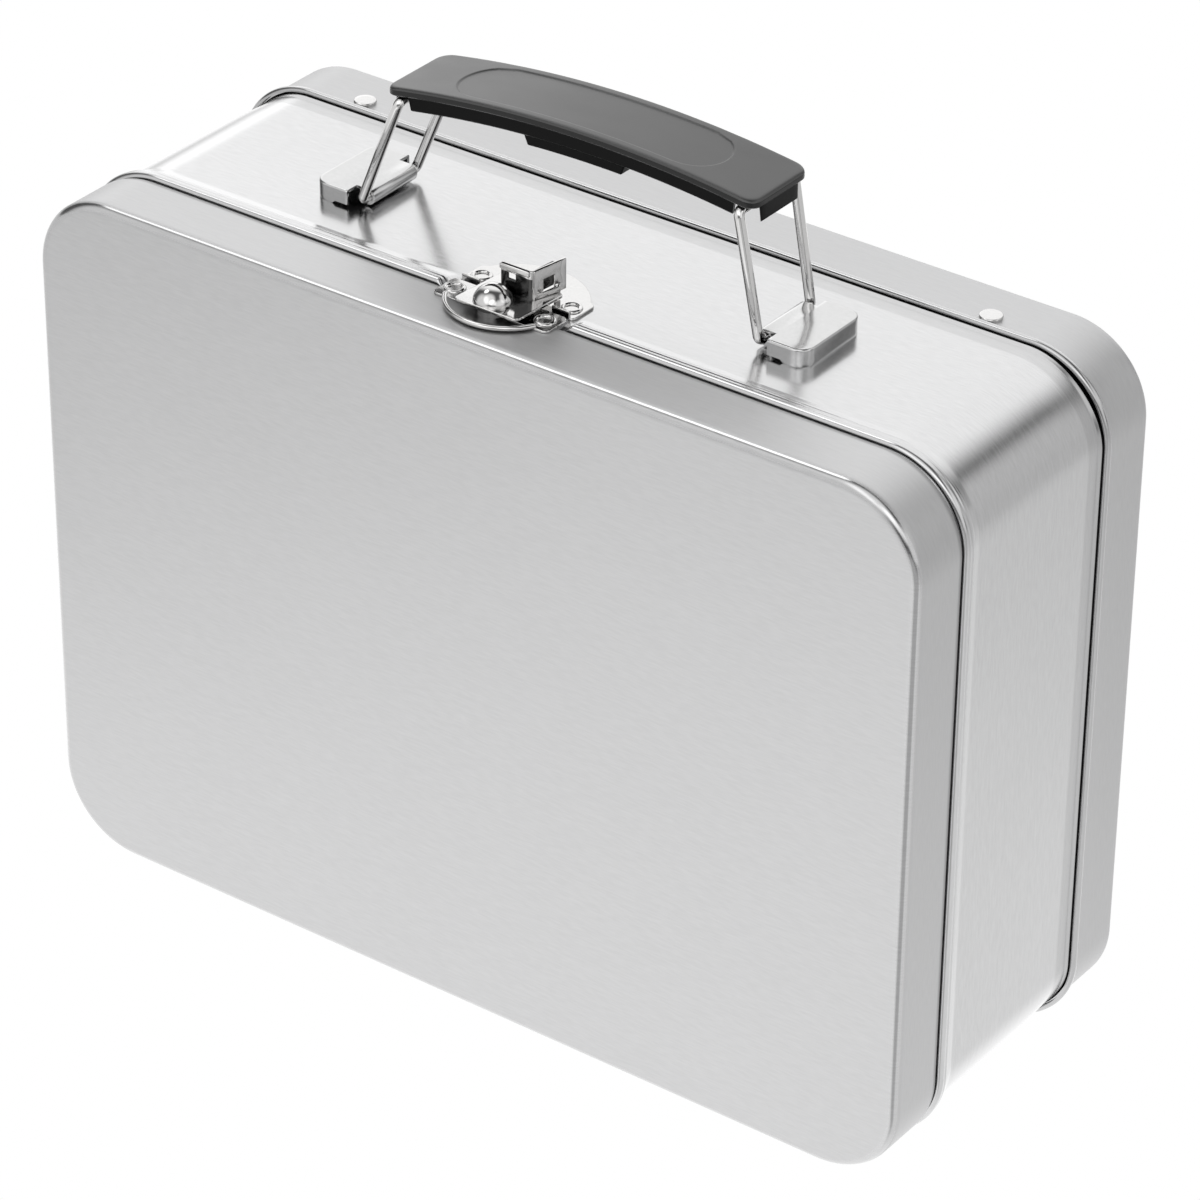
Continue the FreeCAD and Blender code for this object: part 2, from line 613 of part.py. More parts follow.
def latch_rear_plate():
    """Plate on the band behind the seam: two ears, a round back and a raised catch lip at each side."""
    half = LATCH_EAR_SPAN / 2
    front = REAR_PLATE_FRONT
    ears = rounded_rectangle(LATCH_X - half, LATCH_X + half, front, front + LATCH_REAR_EAR, LATCH_EAR_R,
                             lambda u, v: V(u, v, TOP)).extrude(UP * LATCH_PLATE)
    disc = post(LATCH_X, front, TOP, REAR_PLATE_TOP, LATCH_REAR_R)
    behind = box(LATCH_X - half, LATCH_X + half, front + LATCH_EAR_R, front + 2 * LATCH_REAR_R,
                 TOP, TOP + OVER)
    disc = disc.common(behind)
    plate = ears.fuse(disc)
    for side in (-1, 1):
        x0, x1 = sorted((LATCH_X + side * LIP_FROM_CENTRE, LATCH_X + side * (LIP_FROM_CENTRE + LIP_LENGTH)))
        plate = plate.fuse(box(x0, x1, front, front + LIP_SHEET, TOP, REAR_PLATE_TOP + LIP_H))
    return eyelet_holes(plate, EYELET_REAR_Y).removeSplitter()


def eyelets(y, plate_top, wall_bottom):
    """Pair of hollow rivets through a latch plate and the sheet under it."""
    pair = []
    for side in (-1, 1):
        x = LATCH_X + side * EYELET_SPAN / 2
        head = post(x, y, plate_top, plate_top + EYELET_H, EYELET_R)
        crown = [edge for edge in head.Edges if all(v.Z > plate_top + EYELET_H / 2 for v in edge.Vertexes)]
        head = head.makeFillet(EYELET_ROUND, crown)
        shank = post(x, y, wall_bottom, plate_top, EYELET_SHANK_R)
        tail = post(x, y, wall_bottom - EYELET_TAIL_H, wall_bottom, EYELET_R)
        bore = post(x, y, wall_bottom - OVER, plate_top + OVER, EYELET_BORE_R)
        pair.append(head.fuse(shank).fuse(tail).cut(bore).removeSplitter())
    return Part.makeCompound(pair)


def pivot_rivet():
    """Polished dome-headed rivet that the latch turns on."""
    head_base = TURN_TOP + PIVOT_CLEAR
    sphere_r = (PIVOT_DOME_R ** 2 + PIVOT_DOME_H ** 2) / (2 * PIVOT_DOME_H)
    ball = Part.makeSphere(sphere_r, V(LATCH_X, PIVOT_Y, head_base + PIVOT_DOME_H - sphere_r))
    dome = ball.common(post(LATCH_X, PIVOT_Y, head_base, head_base + 2 * PIVOT_DOME_H, 2 * PIVOT_DOME_R))
    shank = post(LATCH_X, PIVOT_Y, LID_TOP, head_base, PIVOT_SHANK_R)
    tail = post(LATCH_X, PIVOT_Y, LID_TOP, LID_TOP + PIVOT_TAIL_H, PIVOT_TAIL_R)
    return dome.fuse(shank).fuse(tail).removeSplitter()


def turn_latch():
    """Turning plate with an upright L-shaped thumb tab, whose back end drops a prong behind the catch lip."""
    half = TURN_PLATE_W / 2
    y0 = PIVOT_Y - TURN_PLATE_FRONT
    y1 = PIVOT_Y + TURN_PLATE_BACK
    plate = rounded_rectangle(LATCH_X - half, LATCH_X + half, y0, y1, TURN_PLATE_CORNER_R,
                              lambda u, v: V(u, v, TURN_BOTTOM)).extrude(UP * TURN_PLATE_SHEET)
    wall_y = PIVOT_Y + THUMB_FRONT
    end_y = PIVOT_Y + THUMB_BACK
    x1 = LATCH_X + THUMB_X
    top = TURN_TOP + THUMB_H
    cross = box(x1 - THUMB_WIDTH, x1, wall_y, wall_y + THUMB_SHEET, TURN_BOTTOM, top)
    side = box(x1 - THUMB_SHEET, x1, wall_y, end_y, TURN_BOTTOM, top)
    middle = (wall_y + end_y) / 2
    hole_z = TURN_TOP + (THUMB_H - THUMB_HOLE_H) / 2
    hole = box(x1 - PAST, x1 + OVER, middle - THUMB_HOLE_W / 2, middle + THUMB_HOLE_W / 2,
               hole_z, hole_z + THUMB_HOLE_H)
    prong_bottom = REAR_PLATE_TOP + LIP_H - PRONG_OVERLAP
    prong = box(x1 - THUMB_SHEET, x1, end_y - PRONG_LENGTH, end_y, prong_bottom, TURN_TOP)
    latch = plate.fuse(cross).fuse(side.cut(hole)).fuse(prong)
    bore = post(LATCH_X, PIVOT_Y, TURN_BOTTOM - OVER, TURN_TOP + OVER, PIVOT_SHANK_R + PIVOT_CLEAR)
    return latch.cut(bore).removeSplitter()


LEFT_BASE, LEFT_TIP, RIGHT_BASE, RIGHT_TIP = bail_tips()

save("body_band", body_band())
save("front_lid", front_lid())
save("back_cover", back_cover())
save("cover_rivets", cover_rivets())
for side_name, side in (("left", -1), ("right", 1)):
    save("hinge_leaf_body_" + side_name, body_leaf(side))
    save("hinge_leaf_lid_" + side_name, lid_leaf(side))
    save("hinge_pin_" + side_name, hinge_pin(side))
    save("mount_cap_" + side_name, mount_cap(side))
save("bail_left", bail(LEFT_BASE, LEFT_TIP))
save("bail_right", bail(RIGHT_BASE, RIGHT_TIP))
save("grip_shell", on_bails(grip_shell(), LEFT_TIP, RIGHT_TIP))
save("grip_insert", on_bails(grip_insert(), LEFT_TIP, RIGHT_TIP))
save("latch_front_plate", latch_front_plate())
save("latch_front_eyelets", eyelets(EYELET_FRONT_Y, FRONT_PLATE_TOP, TOP + LID_CLEAR))
save("latch_pivot_rivet", pivot_rivet())
save("turn_latch", turn_latch())
save("latch_rear_plate", latch_rear_plate())
save("latch_rear_eyelets", eyelets(EYELET_REAR_Y, REAR_PLATE_TOP, TOP - SHEET))
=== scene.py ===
"""Metal lunch box: satin tinplate case, bright plated hardware and a black moulded grip.

Sizes are millimetres in the frame's axes, +X right, +Y back, +Z up; meshes are written in metres.
"""
import json
import math

import bmesh
import bpy
import numpy as np
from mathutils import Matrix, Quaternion, Vector


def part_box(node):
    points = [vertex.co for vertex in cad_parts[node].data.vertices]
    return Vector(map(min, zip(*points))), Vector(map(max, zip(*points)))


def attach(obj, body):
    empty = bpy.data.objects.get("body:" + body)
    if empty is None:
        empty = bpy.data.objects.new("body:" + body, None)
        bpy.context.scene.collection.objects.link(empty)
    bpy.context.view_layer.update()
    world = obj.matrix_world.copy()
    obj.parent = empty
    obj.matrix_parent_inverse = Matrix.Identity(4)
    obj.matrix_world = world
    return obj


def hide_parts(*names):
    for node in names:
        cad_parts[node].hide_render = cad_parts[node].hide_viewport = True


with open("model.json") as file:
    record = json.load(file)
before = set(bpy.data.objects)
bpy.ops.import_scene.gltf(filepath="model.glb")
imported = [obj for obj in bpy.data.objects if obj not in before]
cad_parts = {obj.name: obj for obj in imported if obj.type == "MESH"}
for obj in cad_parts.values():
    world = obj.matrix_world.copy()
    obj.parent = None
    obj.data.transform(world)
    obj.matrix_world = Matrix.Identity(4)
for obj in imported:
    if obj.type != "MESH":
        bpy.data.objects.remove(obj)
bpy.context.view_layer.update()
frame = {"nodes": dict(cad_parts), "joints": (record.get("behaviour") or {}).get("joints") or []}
MM = 0.001


def node_box(node):
    """Lowest and highest corner of a CAD node, in millimetres."""
    low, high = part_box(node)
    return np.array(low) / MM, np.array(high) / MM


def joint_place(name):
    """Pivot of a joint, in millimetres."""
    joint = next(joint for joint in frame["joints"] if joint["name"] == name)
    return np.array(joint["pos_m"]) / MM


# Sheet and case sizes
SHEET = 0.4
BODY_R = 16.3
PAN_EDGE_R = 2.0
LID_OUT = 0.9
LID_IN = LID_OUT - SHEET
COVER_OUT = 0.5
COVER_IN = COVER_OUT - SHEET
TONGUE = 3.2

LID_LOW, LID_HIGH = node_box("front_lid")
BAND_LOW, BAND_HIGH = node_box("body_band")
COVER_LOW, COVER_HIGH = node_box("back_cover")
HALF_W = LID_HIGH[0] - LID_OUT
TOP = LID_HIGH[2] - LID_OUT
BOTTOM = LID_LOW[2] + LID_OUT
MID_Z = (TOP + BOTTOM) / 2
HALF_H = (TOP - BOTTOM) / 2
FRONT = LID_LOW[1]
LID_RIM = LID_HIGH[1] - TONGUE
COLLAR_FRONT = BAND_LOW[1]
BAND_BACK = BAND_HIGH[1]
COVER_RIM = COVER_LOW[1]
BACK = COVER_HIGH[1]

# Bead, hem and curled rims
EASE = 0.2
BEAD_FRONT = LID_RIM + 0.7
BEAD_H = 1.3
BEAD_ROUND = 1.0
BEAD_STOP = 0.6
BEAD_FADE = 1.6
WAVE_PITCH = 1.25
WAVE_H = 0.085
WAVES_END = 3.5
RAMP_H = 0.3
RAMP_END = 5.6
LIP = 0.3
LIP_LENGTH = 1.5
LIP_EDGE = 0.12
FLARE = 0.22
HEM_DEPTH = 3.0
RIM_W = 1.4
RIM_H = COVER_HIGH[0] - HALF_W - 0.2
RIM_GAP = 0.5
RIM_ROUND = 0.4
RIM_FRONT_R = 0.85
CORNER_DIP = 0.45
CORNER_DIP_REACH = 11.0
REAR_REACH = 8.0

# Hinges
HINGE_Y = joint_place("lid_hinge")[1]
HINGE_X = 55.0
HINGE_NOTCH = 12.35
HINGE_BAND_CUT = HINGE_Y + 1.8
HINGE_LID_CUT = HINGE_Y - 1.4

# Latch plates
LATCH_X, PIVOT_Y = joint_place("latch_turn")[:2]
LATCH_HALF = 13.0
LATCH_PLATE = 0.5
LATCH_EAR_R = 1.2
LID_TOP = TOP + LID_OUT
LATCH_TOP = LID_TOP + LATCH_PLATE
FRONT_EAR = 6.8
PLATE_BACK = LID_RIM + TONGUE
DISC_Y = PLATE_BACK - 1.0
DISC_R = 12.0
DISC_RIM = 0.5
EAR_FRONT = DISC_Y - (PLATE_BACK - FRONT_EAR)
BOWL_DEPTH = 0.3
BOWL_LIFT = 0.45
REAR_FRONT = PLATE_BACK + 1.2
REAR_EAR = 7.2
REAR_R = 13.8
CATCH_FROM, CATCH_TO, CATCH_H = 8.2, 12.2, 1.4
EYELET_HALF = 10.2
EYELET_SET = 3.4

# Turning latch
TURN_GAP = 0.25
TURN_SHEET = 0.6
TURN_LOW = LATCH_TOP + 2 * DISC_RIM + TURN_GAP
TURN_TOP = TURN_LOW + TURN_SHEET
TURN_LEAN = 0.07
PRONG_LOW = TOP + 1.15
THUMB_LEFT, THUMB_RIGHT = LATCH_X - 1.2, LATCH_X + 5.7
THUMB_FRONT, THUMB_BACK = PIVOT_Y + 4.2, PIVOT_Y + 12.4
THUMB_TOP = TURN_TOP + 5.65
THUMB_SPLAY = 1.3
THUMB_HEM = 1.1

# Handle mount caps and bails
LEFT_BASE = joint_place("bail_left_sway")
LEFT_TIP = joint_place("grip_pivot")
RIGHT_BASE = joint_place("bail_right_sway")
KNUCKLE_R = 1.65
KNUCKLE_HALF = 6.45
CAP_LENGTH = 10.8
CAP_HALF = 9.5
CAP_H = 3.6
CAP_SHEET = 0.6
CAP_CORNER = 3.2
CAP_ROUND = 0.5
CAP_NOTCH = 2.6
CAP_LEAD = 0.9
CAP_RELIEF_H = 0.6
CAP_RELIEF = 5.6
TAB_W = 3.0
TAB_INSET = 4.2
TAB_FOOT = 2.8
WIRE_R = 1.0
WIRE_BEND = 1.2
BAIL_LOW = 8.2
BAIL_HIGH = 8.7
BUTT_GAP = 0.3

# Grip
GRIP_HALF = 41.25
GRIP_HALF_W = 9.0
GRIP_ARCH = 3.5
GRIP_PIVOT = 38.0
GRIP_RIM = 1.7
GRIP_ROUND = 0.7
GRIP_CORNER = 2.6
SKIRT_H = 3.4
SKIRT_HALF_W = 7.4
SKIRT_END = 0.4
SKIRT_WALL = 1.1
SKIRT_END_WALL = 0.4
SKIRT_ROUND = 0.25
SLOT_LEFT = (-GRIP_PIVOT - 2.15, -GRIP_PIVOT + 1.2)
SLOT_RIGHT = (GRIP_PIVOT - 1.35, GRIP_PIVOT + 3.1)
SLOT_SIDE = 7.0
SLOT_RISE = 0.4
PIVOT_DROP = 2.9
RIDGE_HALF = 29.6
RIDGE_HALF_W = 7.2
RIDGE_LINE = 0.45
RIDGE_H = 0.24
ARCH_R = (GRIP_HALF ** 2 + GRIP_ARCH ** 2) / (2 * GRIP_ARCH)
ARCH_DROP = ARCH_R - GRIP_ARCH

# Camera, fitted to the photograph: places in metres, roll in degrees, lens in millimetres
CAMERA_PLACE = Vector((0.51463, -0.70169, 0.60724))
CAMERA_AIM = Vector((-0.01638, 0.02912, 0.05282))
CAMERA_ROLL = 0.597
CAMERA_LENS = 160.5

# Shading and modelling limits, in degrees
SHARP_ANGLE = 35
BEVEL_ANGLE = 40


def smoothstep(low, high, value):
    """Rises from 0 at low to 1 at high with level ends: 3t² − 2t³."""
    t = np.clip((value - low) / (high - low), 0, 1)
    return t * t * (3 - 2 * t)


def arc(centre, radius, start, end, steps):
    """Circle's points from angle start to end in degrees: centre + radius (cos, sin)."""
    turn = np.radians(np.linspace(start, end, steps + 1))
    return np.column_stack((centre[0] + radius * np.cos(turn), centre[1] + radius * np.sin(turn)))


def unit(vector):
    """Vectors of length 1 along these."""
    return vector / np.linalg.norm(vector, axis=-1, keepdims=True)


def run(start, end, count, breaks):
    """Places from start to end, evenly spread, with extra ones at the breaks."""
    low, high = sorted((start, end))
    kept = [place for place in breaks if low < place < high]
    places = np.union1d(np.linspace(low, high, count), kept)
    return places if end > start else places[::-1]


def level(points, last):
    """Points with one further coordinate, the same for all."""
    return np.column_stack((points, np.full(len(points), last)))


def grid_faces(rows, columns, loop_rows, loop_columns):
    """Quads over points numbered row by row; a looped side joins its last line to its first."""
    row, column = np.meshgrid(np.arange(rows if loop_rows else rows - 1),
                              np.arange(columns if loop_columns else columns - 1), indexing="ij")
    below = (row + 1) % rows
    beside = (column + 1) % columns
    corners = ((row, column), (row, beside), (below, beside), (below, column))
    quads = np.stack([line * columns + place for line, place in corners], -1)
    return quads.reshape(-1, 4).tolist()


def stack(rings, loop=False, closed=True):
    """Skin over a stack of rings; loop joins the last to the first, and closed each ring's ends."""
    return np.concatenate(rings), grid_faces(len(rings), len(rings[0]), loop, closed)


def capped(rings):
    """Skin over a stack of closed rings, with a face on the first and on the last."""
    points, faces = stack(rings)
    count = len(rings[0])
    return points, faces + [list(range(count)), list(range(len(points) - count, len(points)))]


def join(*parts):
    """Several (points, faces) pairs as one."""
    points, faces, first = [], [], 0
    for part_points, part_faces in parts:
        points.append(part_points)
        faces += [[index + first for index in face] for face in part_faces]
        first += len(part_points)
    return np.concatenate(points), faces


def bevel(piece, width, segments=2):
    """Round every sharp edge."""
    modifier = piece.modifiers.new("edge", "BEVEL")
    modifier.width = width * MM
    modifier.segments = segments
    modifier.limit_method = "ANGLE"
    modifier.angle_limit = math.radians(BEVEL_ANGLE)


def solidify(piece, thickness, offset=-1, even=True):
    """Give a sheet its thickness."""
    modifier = piece.modifiers.new("sheet", "SOLIDIFY")
    modifier.thickness = thickness * MM
    modifier.offset = offset
    modifier.use_even_offset = even


def add_object(name, data):
    """New object in the scene."""
    thing = bpy.data.objects.new(name, data)
    bpy.context.scene.collection.objects.link(thing)
    return thing


def make_piece(name, shape, body, node, slot, *finishes, facing=None, finish_of=None):
    """Turn millimetre points and faces into a welded, smooth-shaded piece that rides on a body.

    Faces are turned outwards: their area-weighted normals point away from the middle, or to facing.
    Where there are several finishes, finish_of gives the faces' numbers from their middles and normals.
    """
    points, faces = shape
    mesh = bpy.data.meshes.new(name)
    mesh.from_pydata((points * MM).tolist(), [], faces)
    work = bmesh.new()
    work.from_mesh(mesh)
    bmesh.ops.remove_doubles(work, verts=work.verts, dist=2e-7)
    bmesh.ops.dissolve_degenerate(work, edges=work.edges, dist=1e-7)
    bmesh.ops.recalc_face_normals(work, faces=work.faces)
    middle = sum((face.calc_center_median() for face in work.faces), Vector()) / len(work.faces)
    away = sum(face.calc_area() * face.normal.dot(facing or face.calc_center_median() - middle)
               for face in work.faces)
    if away < 0:
        bmesh.ops.reverse_faces(work, faces=work.faces)
    work.to_mesh(mesh)
    work.free()
    mesh.shade_smooth()
    mesh.set_sharp_from_angle(angle=math.radians(SHARP_ANGLE))
    for finish in finishes:
        mesh.materials.append(finish)
    if finish_of is not None:
        middles = np.array([polygon.center for polygon in mesh.polygons]) / MM
        normals = np.array([polygon.normal for polygon in mesh.polygons])
        mesh.polygons.foreach_set("material_index", finish_of(middles, normals).astype(np.int32))
    piece = add_object(name, mesh)
    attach(piece, body)
    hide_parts(node)
    return piece


# Shader toolkit

class Shade:
    """A socket in a shader tree; Python's operators on it add Math nodes."""

    def __init__(self, tree, socket=None):
        self.tree = tree
        self.socket = socket

    def node(self, kind, sockets=None, out=0, **settings):
        """Add a shader node: its settings first, then its sockets' values or links; returns one output."""
        made = self.tree.nodes.new("ShaderNode" + kind)
        for key, value in settings.items():
            setattr(made, key, value)
        for key, value in (sockets or {}).items():
            if isinstance(value, Shade):
                self.tree.links.new(value.socket, made.inputs[key])
            else:
                made.inputs[key].default_value = value
        return Shade(self.tree, made.outputs[out] if len(made.outputs) else None)

    def math(self, operation, *terms):
        """Math node of the terms."""
        return self.node("Math", dict(enumerate(terms)), operation=operation)

    def __add__(self, other):
        return self.math("ADD", self, other)

    def __sub__(self, other):
        return self.math("SUBTRACT", self, other)

    def __rsub__(self, other):
        return self.math("SUBTRACT", other, self)

    def __mul__(self, other):
        return self.math("MULTIPLY", self, other)

    __radd__ = __add__
    __rmul__ = __mul__

    def __abs__(self):
        return self.math("ABSOLUTE", self)

    def __neg__(self):
        return self.math("SUBTRACT", 0.0, self)

    def dot(self, way):
        """Length of this vector along a way."""
        return self.node("VectorMath", {0: self, 1: way}, out=1, operation="DOT_PRODUCT")

    def smooth(self, low, high):
        """Smoothstep of this value between low and high."""
        return self.node("MapRange", {"Value": self, "From Min": low, "From Max": high},
                         interpolation_type="SMOOTHSTEP")

    def between(self, low, high, soft):
        """1 where this value lies between low and high, 0 elsewhere, with soft ends."""
        return self.smooth(low - soft, low) - self.smooth(high, high + soft)

    def noise(self, counts, detail):
        """Noise of this position, with counts per millimetre along X, Y and Z."""
        stretch = [count / MM for count in counts]
        scaled = self.node("VectorMath", {0: self, 1: stretch}, operation="MULTIPLY")
        return self.node("TexNoise", {"Vector": scaled, "Scale": 1.0, "Detail": detail})

    def swing(self, amount):
        """Noise about its mean of a half, times an amount."""
        return (self - 0.5) * amount

    def blend(self, low, high):
        """Colour between low and high by this factor."""
        ends = [end if isinstance(end, Shade) else (*end, 1) for end in (low, high)]
        return self.node("Mix", {0: self, 6: ends[0], 7: ends[1]}, out=2, data_type="RGBA")

    def vary(self, tone, low, high):
        """Colour between a tone times low and times high by this factor."""
        return self.blend(*(tuple(channel * share for channel in tone) for share in (low, high)))


def empty_tree(owner):
    """Cleared shader tree of a material or a world, as a Shade."""
    owner.use_nodes = True
    owner.node_tree.nodes.clear()
    return Shade(owner.node_tree)


def new_material(name):
    """New material, its empty tree and its Object coordinates."""
    material = bpy.data.materials.new(name)
    tree = empty_tree(material)
    return material, tree, tree.node("TexCoord", out=3)


def surface(tree, sockets):
    """Principled surface on the material's output."""
    shader = tree.node("BsdfPrincipled", sockets)
    tree.node("OutputMaterial", {"Surface": shader})


def bump(tree, height, depth_mm):
    """Normal of a height that rises by depth_mm."""
    return tree.node("Bump", {"Distance": depth_mm * MM, "Height": height})


# Noise of the finishes, in counts per millimetre along X, Y and Z
WALL_GRAIN = (0.35, 3.0, 0.35)
PANEL_GRAIN = (0.35, 0.35, 3.0)
TIN_CLOUD = (0.022, 0.022, 0.022)
STEEL_WAVE = (0.35, 0.35, 0.35)
STEEL_HAZE = (1.8, 1.8, 1.8)
PLASTIC_SPARK = (5.0, 5.0, 5.0)
PLASTIC_RUB = (0.08, 0.15, 0.15)

PAN_TONE = (0.53, 0.53, 0.533)
BAND_TONE = (0.56, 0.56, 0.563)
# Near-black tone towards which painted shade darkens the tinplate at its gaps
PAINTED_SHADE_TONE = (0.02, 0.02, 0.02)
BRIGHT_TONE = (0.64, 0.635, 0.63)
GRAIN_DEPTH = 0.002
PANEL_TURN = (1.0, 2.4)
BEND_ROUGH = 0.17
BEND_SOFT = 0.3
# Roughness that painted shade adds where it darkens the tinplate
PAINTED_SHADE_ROUGH = 0.3


def tinplate(name, tone, roughness, panel_y=None, painted_shades=(), bends=()):
    """Satin sheet whose fine grain runs round the walls and along X on a flat panel at panel_y.

    Between the two depths of a painted shade its colour is darkened by a share over a soft edge,
    shade painted at a gap or seam; between those of a bend the forming has left it smoother.
    """
    material, tree, place = new_material(name)
    grain = place.noise(WALL_GRAIN, 3.0)
    depth = tree.node("SeparateXYZ", {0: place}, out=1)
    if panel_y is not None:
        on_wall = abs(depth - panel_y * MM).smooth(*(end * MM for end in PANEL_TURN))
        across = place.noise(PANEL_GRAIN, 3.0)
        grain = across + (grain - across) * on_wall
    cloud = place.noise(TIN_CLOUD, 2.0)
    colour = (0.5 + grain.swing(1.9) + cloud.swing(0.5)).vary(tone, 0.95, 1.05)
    dull = roughness + grain.swing(0.1) + cloud.swing(0.05)
    for low, high in bends:
        dull = dull + (BEND_ROUGH - roughness) * depth.between(low * MM, high * MM, BEND_SOFT * MM)
    # Painted shade: between two depths the colour is darkened towards a near-black tone and made rougher
    for low, high, share, soft in painted_shades:
        in_painted_shade = share * depth.between(low * MM, high * MM, soft * MM)
        colour = in_painted_shade.blend(colour, PAINTED_SHADE_TONE)
        dull = dull + in_painted_shade * PAINTED_SHADE_ROUGH
    surface(tree, {
        "Base Color": colour,
        "Metallic": 1.0,
        "Roughness": dull,
        "Normal": bump(tree, grain, GRAIN_DEPTH),
    })
    return material


def bright_steel(name, tone, roughness, ripple):
    """Plated stamping: nearly a mirror, with a faint ripple and a fine haze."""
    material, tree, place = new_material(name)
    wave = place.noise(STEEL_WAVE, 1.0)
    haze = place.noise(STEEL_HAZE, 3.0)
    surface(tree, {
        "Base Color": haze.vary(tone, 0.9, 1.04),
        "Metallic": 1.0,
        "Roughness": roughness + haze.swing(0.08),
        "Normal": bump(tree, wave, ripple),
    })
    return material


def black_plastic(name, tone, roughness, specular, texture):
    """Moulded plastic with a fine spark texture and slightly rubbed patches."""
    material, tree, place = new_material(name)
    spark = place.noise(PLASTIC_SPARK, 2.0)
    rub = place.noise(PLASTIC_RUB, 3.0)
    surface(tree, {
        "Base Color": (0.6 * spark + 0.4 * rub).vary((tone, tone, tone), 0.7, 1.3),
        "Roughness": roughness + rub.swing(0.12) + spark.swing(0.06),
        "Specular IOR Level": specular,
        "Normal": bump(tree, spark, texture),
    })
    return material


# The lid's colour has painted shade towards its rim, at the gap before the band's bead.
LID_TIN = tinplate("lid tinplate", PAN_TONE, 0.48, FRONT, [(LID_RIM - 0.7, LID_RIM + 0.3, 0.26, 0.9)],
                   [(FRONT + 0.2, FRONT + 1.0)])
# The cover's colour has painted shade at its curled rim, where it stands off the band.
COVER_TIN = tinplate("cover tinplate", PAN_TONE, 0.5, BACK, [(COVER_RIM - 1, COVER_RIM + 0.5, 0.12, 0.6)],
                     [(COVER_RIM - 1, COVER_RIM + RIM_W + 0.3)])
BAND_TIN = tinplate("band tinplate", BAND_TONE, 0.19)
# Band near the back cover: a faint strip of painted shade before the cover's rim, and near-black painted
# shade in the gap under its curl.
BAND_REAR_PAINTED_SHADE = tinplate("band tinplate with painted shade at the cover", BAND_TONE, 0.19, None,
                     [(COVER_RIM - 4.2, BACK, 0.13, 0.8), (COVER_RIM - 0.42, BACK, 1.0, 0.06)])
# The bowl inside the latch's front rim is steel darkened as painted shade.
BOWL_PAINTED_SHADE = bright_steel("bowl steel with painted shade", (0.12, 0.12, 0.12), 0.3, 0.004)
PLATED = bright_steel("plated stamping", BRIGHT_TONE, 0.1, 0.025)
WIRE_STEEL = bright_steel("plated wire", (0.72, 0.715, 0.71), 0.06, 0.002)
CAP_STEEL = bright_steel("plated cap", (0.56, 0.56, 0.56), 0.16, 0.004)
# Steel darkened as painted shade, for the thumb tab's cross wall and the leaf behind its windows.
PAINTED_SHADE_STEEL = bright_steel("steel with painted shade", (0.075, 0.075, 0.075), 0.16, 0.01)
GRIP_TOP = black_plastic("grip satin black", 0.018, 0.34, 0.88, 0.004)
# Darker copies of the grip's black as painted shade: below the rim, and on the rim's side.
GRIP_PAINTED_SHADE = black_plastic("grip black with painted shade", 0.003, 0.3, 0.1, 0.002)
GRIP_RIM_PAINTED_SHADE = black_plastic("grip rim black with painted shade", 0.006, 0.25, 0.38, 0.002)


# Case: rings round the body's outline

STEP = 0.01
PANEL_SHARES = (0.0, 0.3, 0.6, 0.85, 0.97)
PANEL_EDGE = 0.4


def edge_pairs(middle, half):
    """Two close places at each end of a notch, for upright sides."""
    return [middle + side * (half + offset) for side in (-1, 1) for offset in (-STEP, STEP)]


def case_outline():
    """Body outline seen from the front and its outward normals, anticlockwise from the bottom left.

    Straight runs and quarter circles of a rounded rectangle, with extra places at the hinge notches,
    the latch tongue, the bead's ends and beside each corner.
    """
    flat = HALF_W - BODY_R
    rise = HALF_H - BODY_R
    wide, tall, corner = 25, 19, 28
    beside = [side * (end - 1.5) for side in (-1, 1) for end in (flat, rise)]
    low = beside + edge_pairs(-HINGE_X, HINGE_NOTCH) + edge_pairs(HINGE_X, HINGE_NOTCH)
    bead_ends = LATCH_HALF + np.linspace(BEAD_STOP - 0.1, BEAD_STOP + BEAD_FADE + 0.4, 9)
    high = beside + edge_pairs(LATCH_X, LATCH_HALF) + [*(LATCH_X - bead_ends), *(LATCH_X + bead_ends)]
    sides = (
        (level(run(-flat, flat, wide, low), -HALF_H), -90),
        (level(run(-rise, rise, tall, beside), HALF_W)[:, ::-1], 0),
        (level(run(flat, -flat, wide, high), HALF_H), 90),
        (level(run(rise, -rise, tall, beside), -HALF_W)[:, ::-1], 180),
    )
    points, normals = [], []
    for side, facing in sides:
        bend = arc((0, 0), 1.0, facing, facing + 90, corner)
        outward = np.round(bend[0])
        points += [side, side[-1] - BODY_R * outward + BODY_R * bend[1:-1]]
        normals += [np.tile(outward, (len(side), 1)), bend[1:-1]]
    return np.concatenate(points), np.concatenate(normals)


OUTLINE, OUTWARD = case_outline()
ON_TOP = OUTWARD[:, 1] > 0.999
ON_FLOOR = OUTWARD[:, 1] < -0.999
CORNERNESS = 4 * (OUTWARD[:, 0] * OUTWARD[:, 1]) ** 2
FROM_LATCH = np.abs(OUTLINE[:, 0] - LATCH_X) - LATCH_HALF
AT_TONGUE = ON_TOP & (FROM_LATCH < 0)
AT_HINGE = ON_FLOOR & (np.abs(np.abs(OUTLINE[:, 0]) - HINGE_X) < HINGE_NOTCH)
BEAD_SHARE = np.where(ON_TOP, smoothstep(BEAD_STOP, BEAD_STOP + BEAD_FADE, FROM_LATCH), 1.0)


def ring(grow, y, shrink=1.0):
    """Outline moved outwards by grow at depth y, or shrunk towards its middle: shrink (P + grow N)."""
    flat = (OUTLINE + np.asarray(grow).reshape(-1, 1) * OUTWARD) * shrink
    depth = np.broadcast_to(y, len(OUTLINE))
    return np.column_stack((flat[:, 0], depth, flat[:, 1] + MID_Z))


def rings_along(profile):
    """Rings of a profile of growths and depths."""
    return [ring(grow, y) for grow, y in profile]


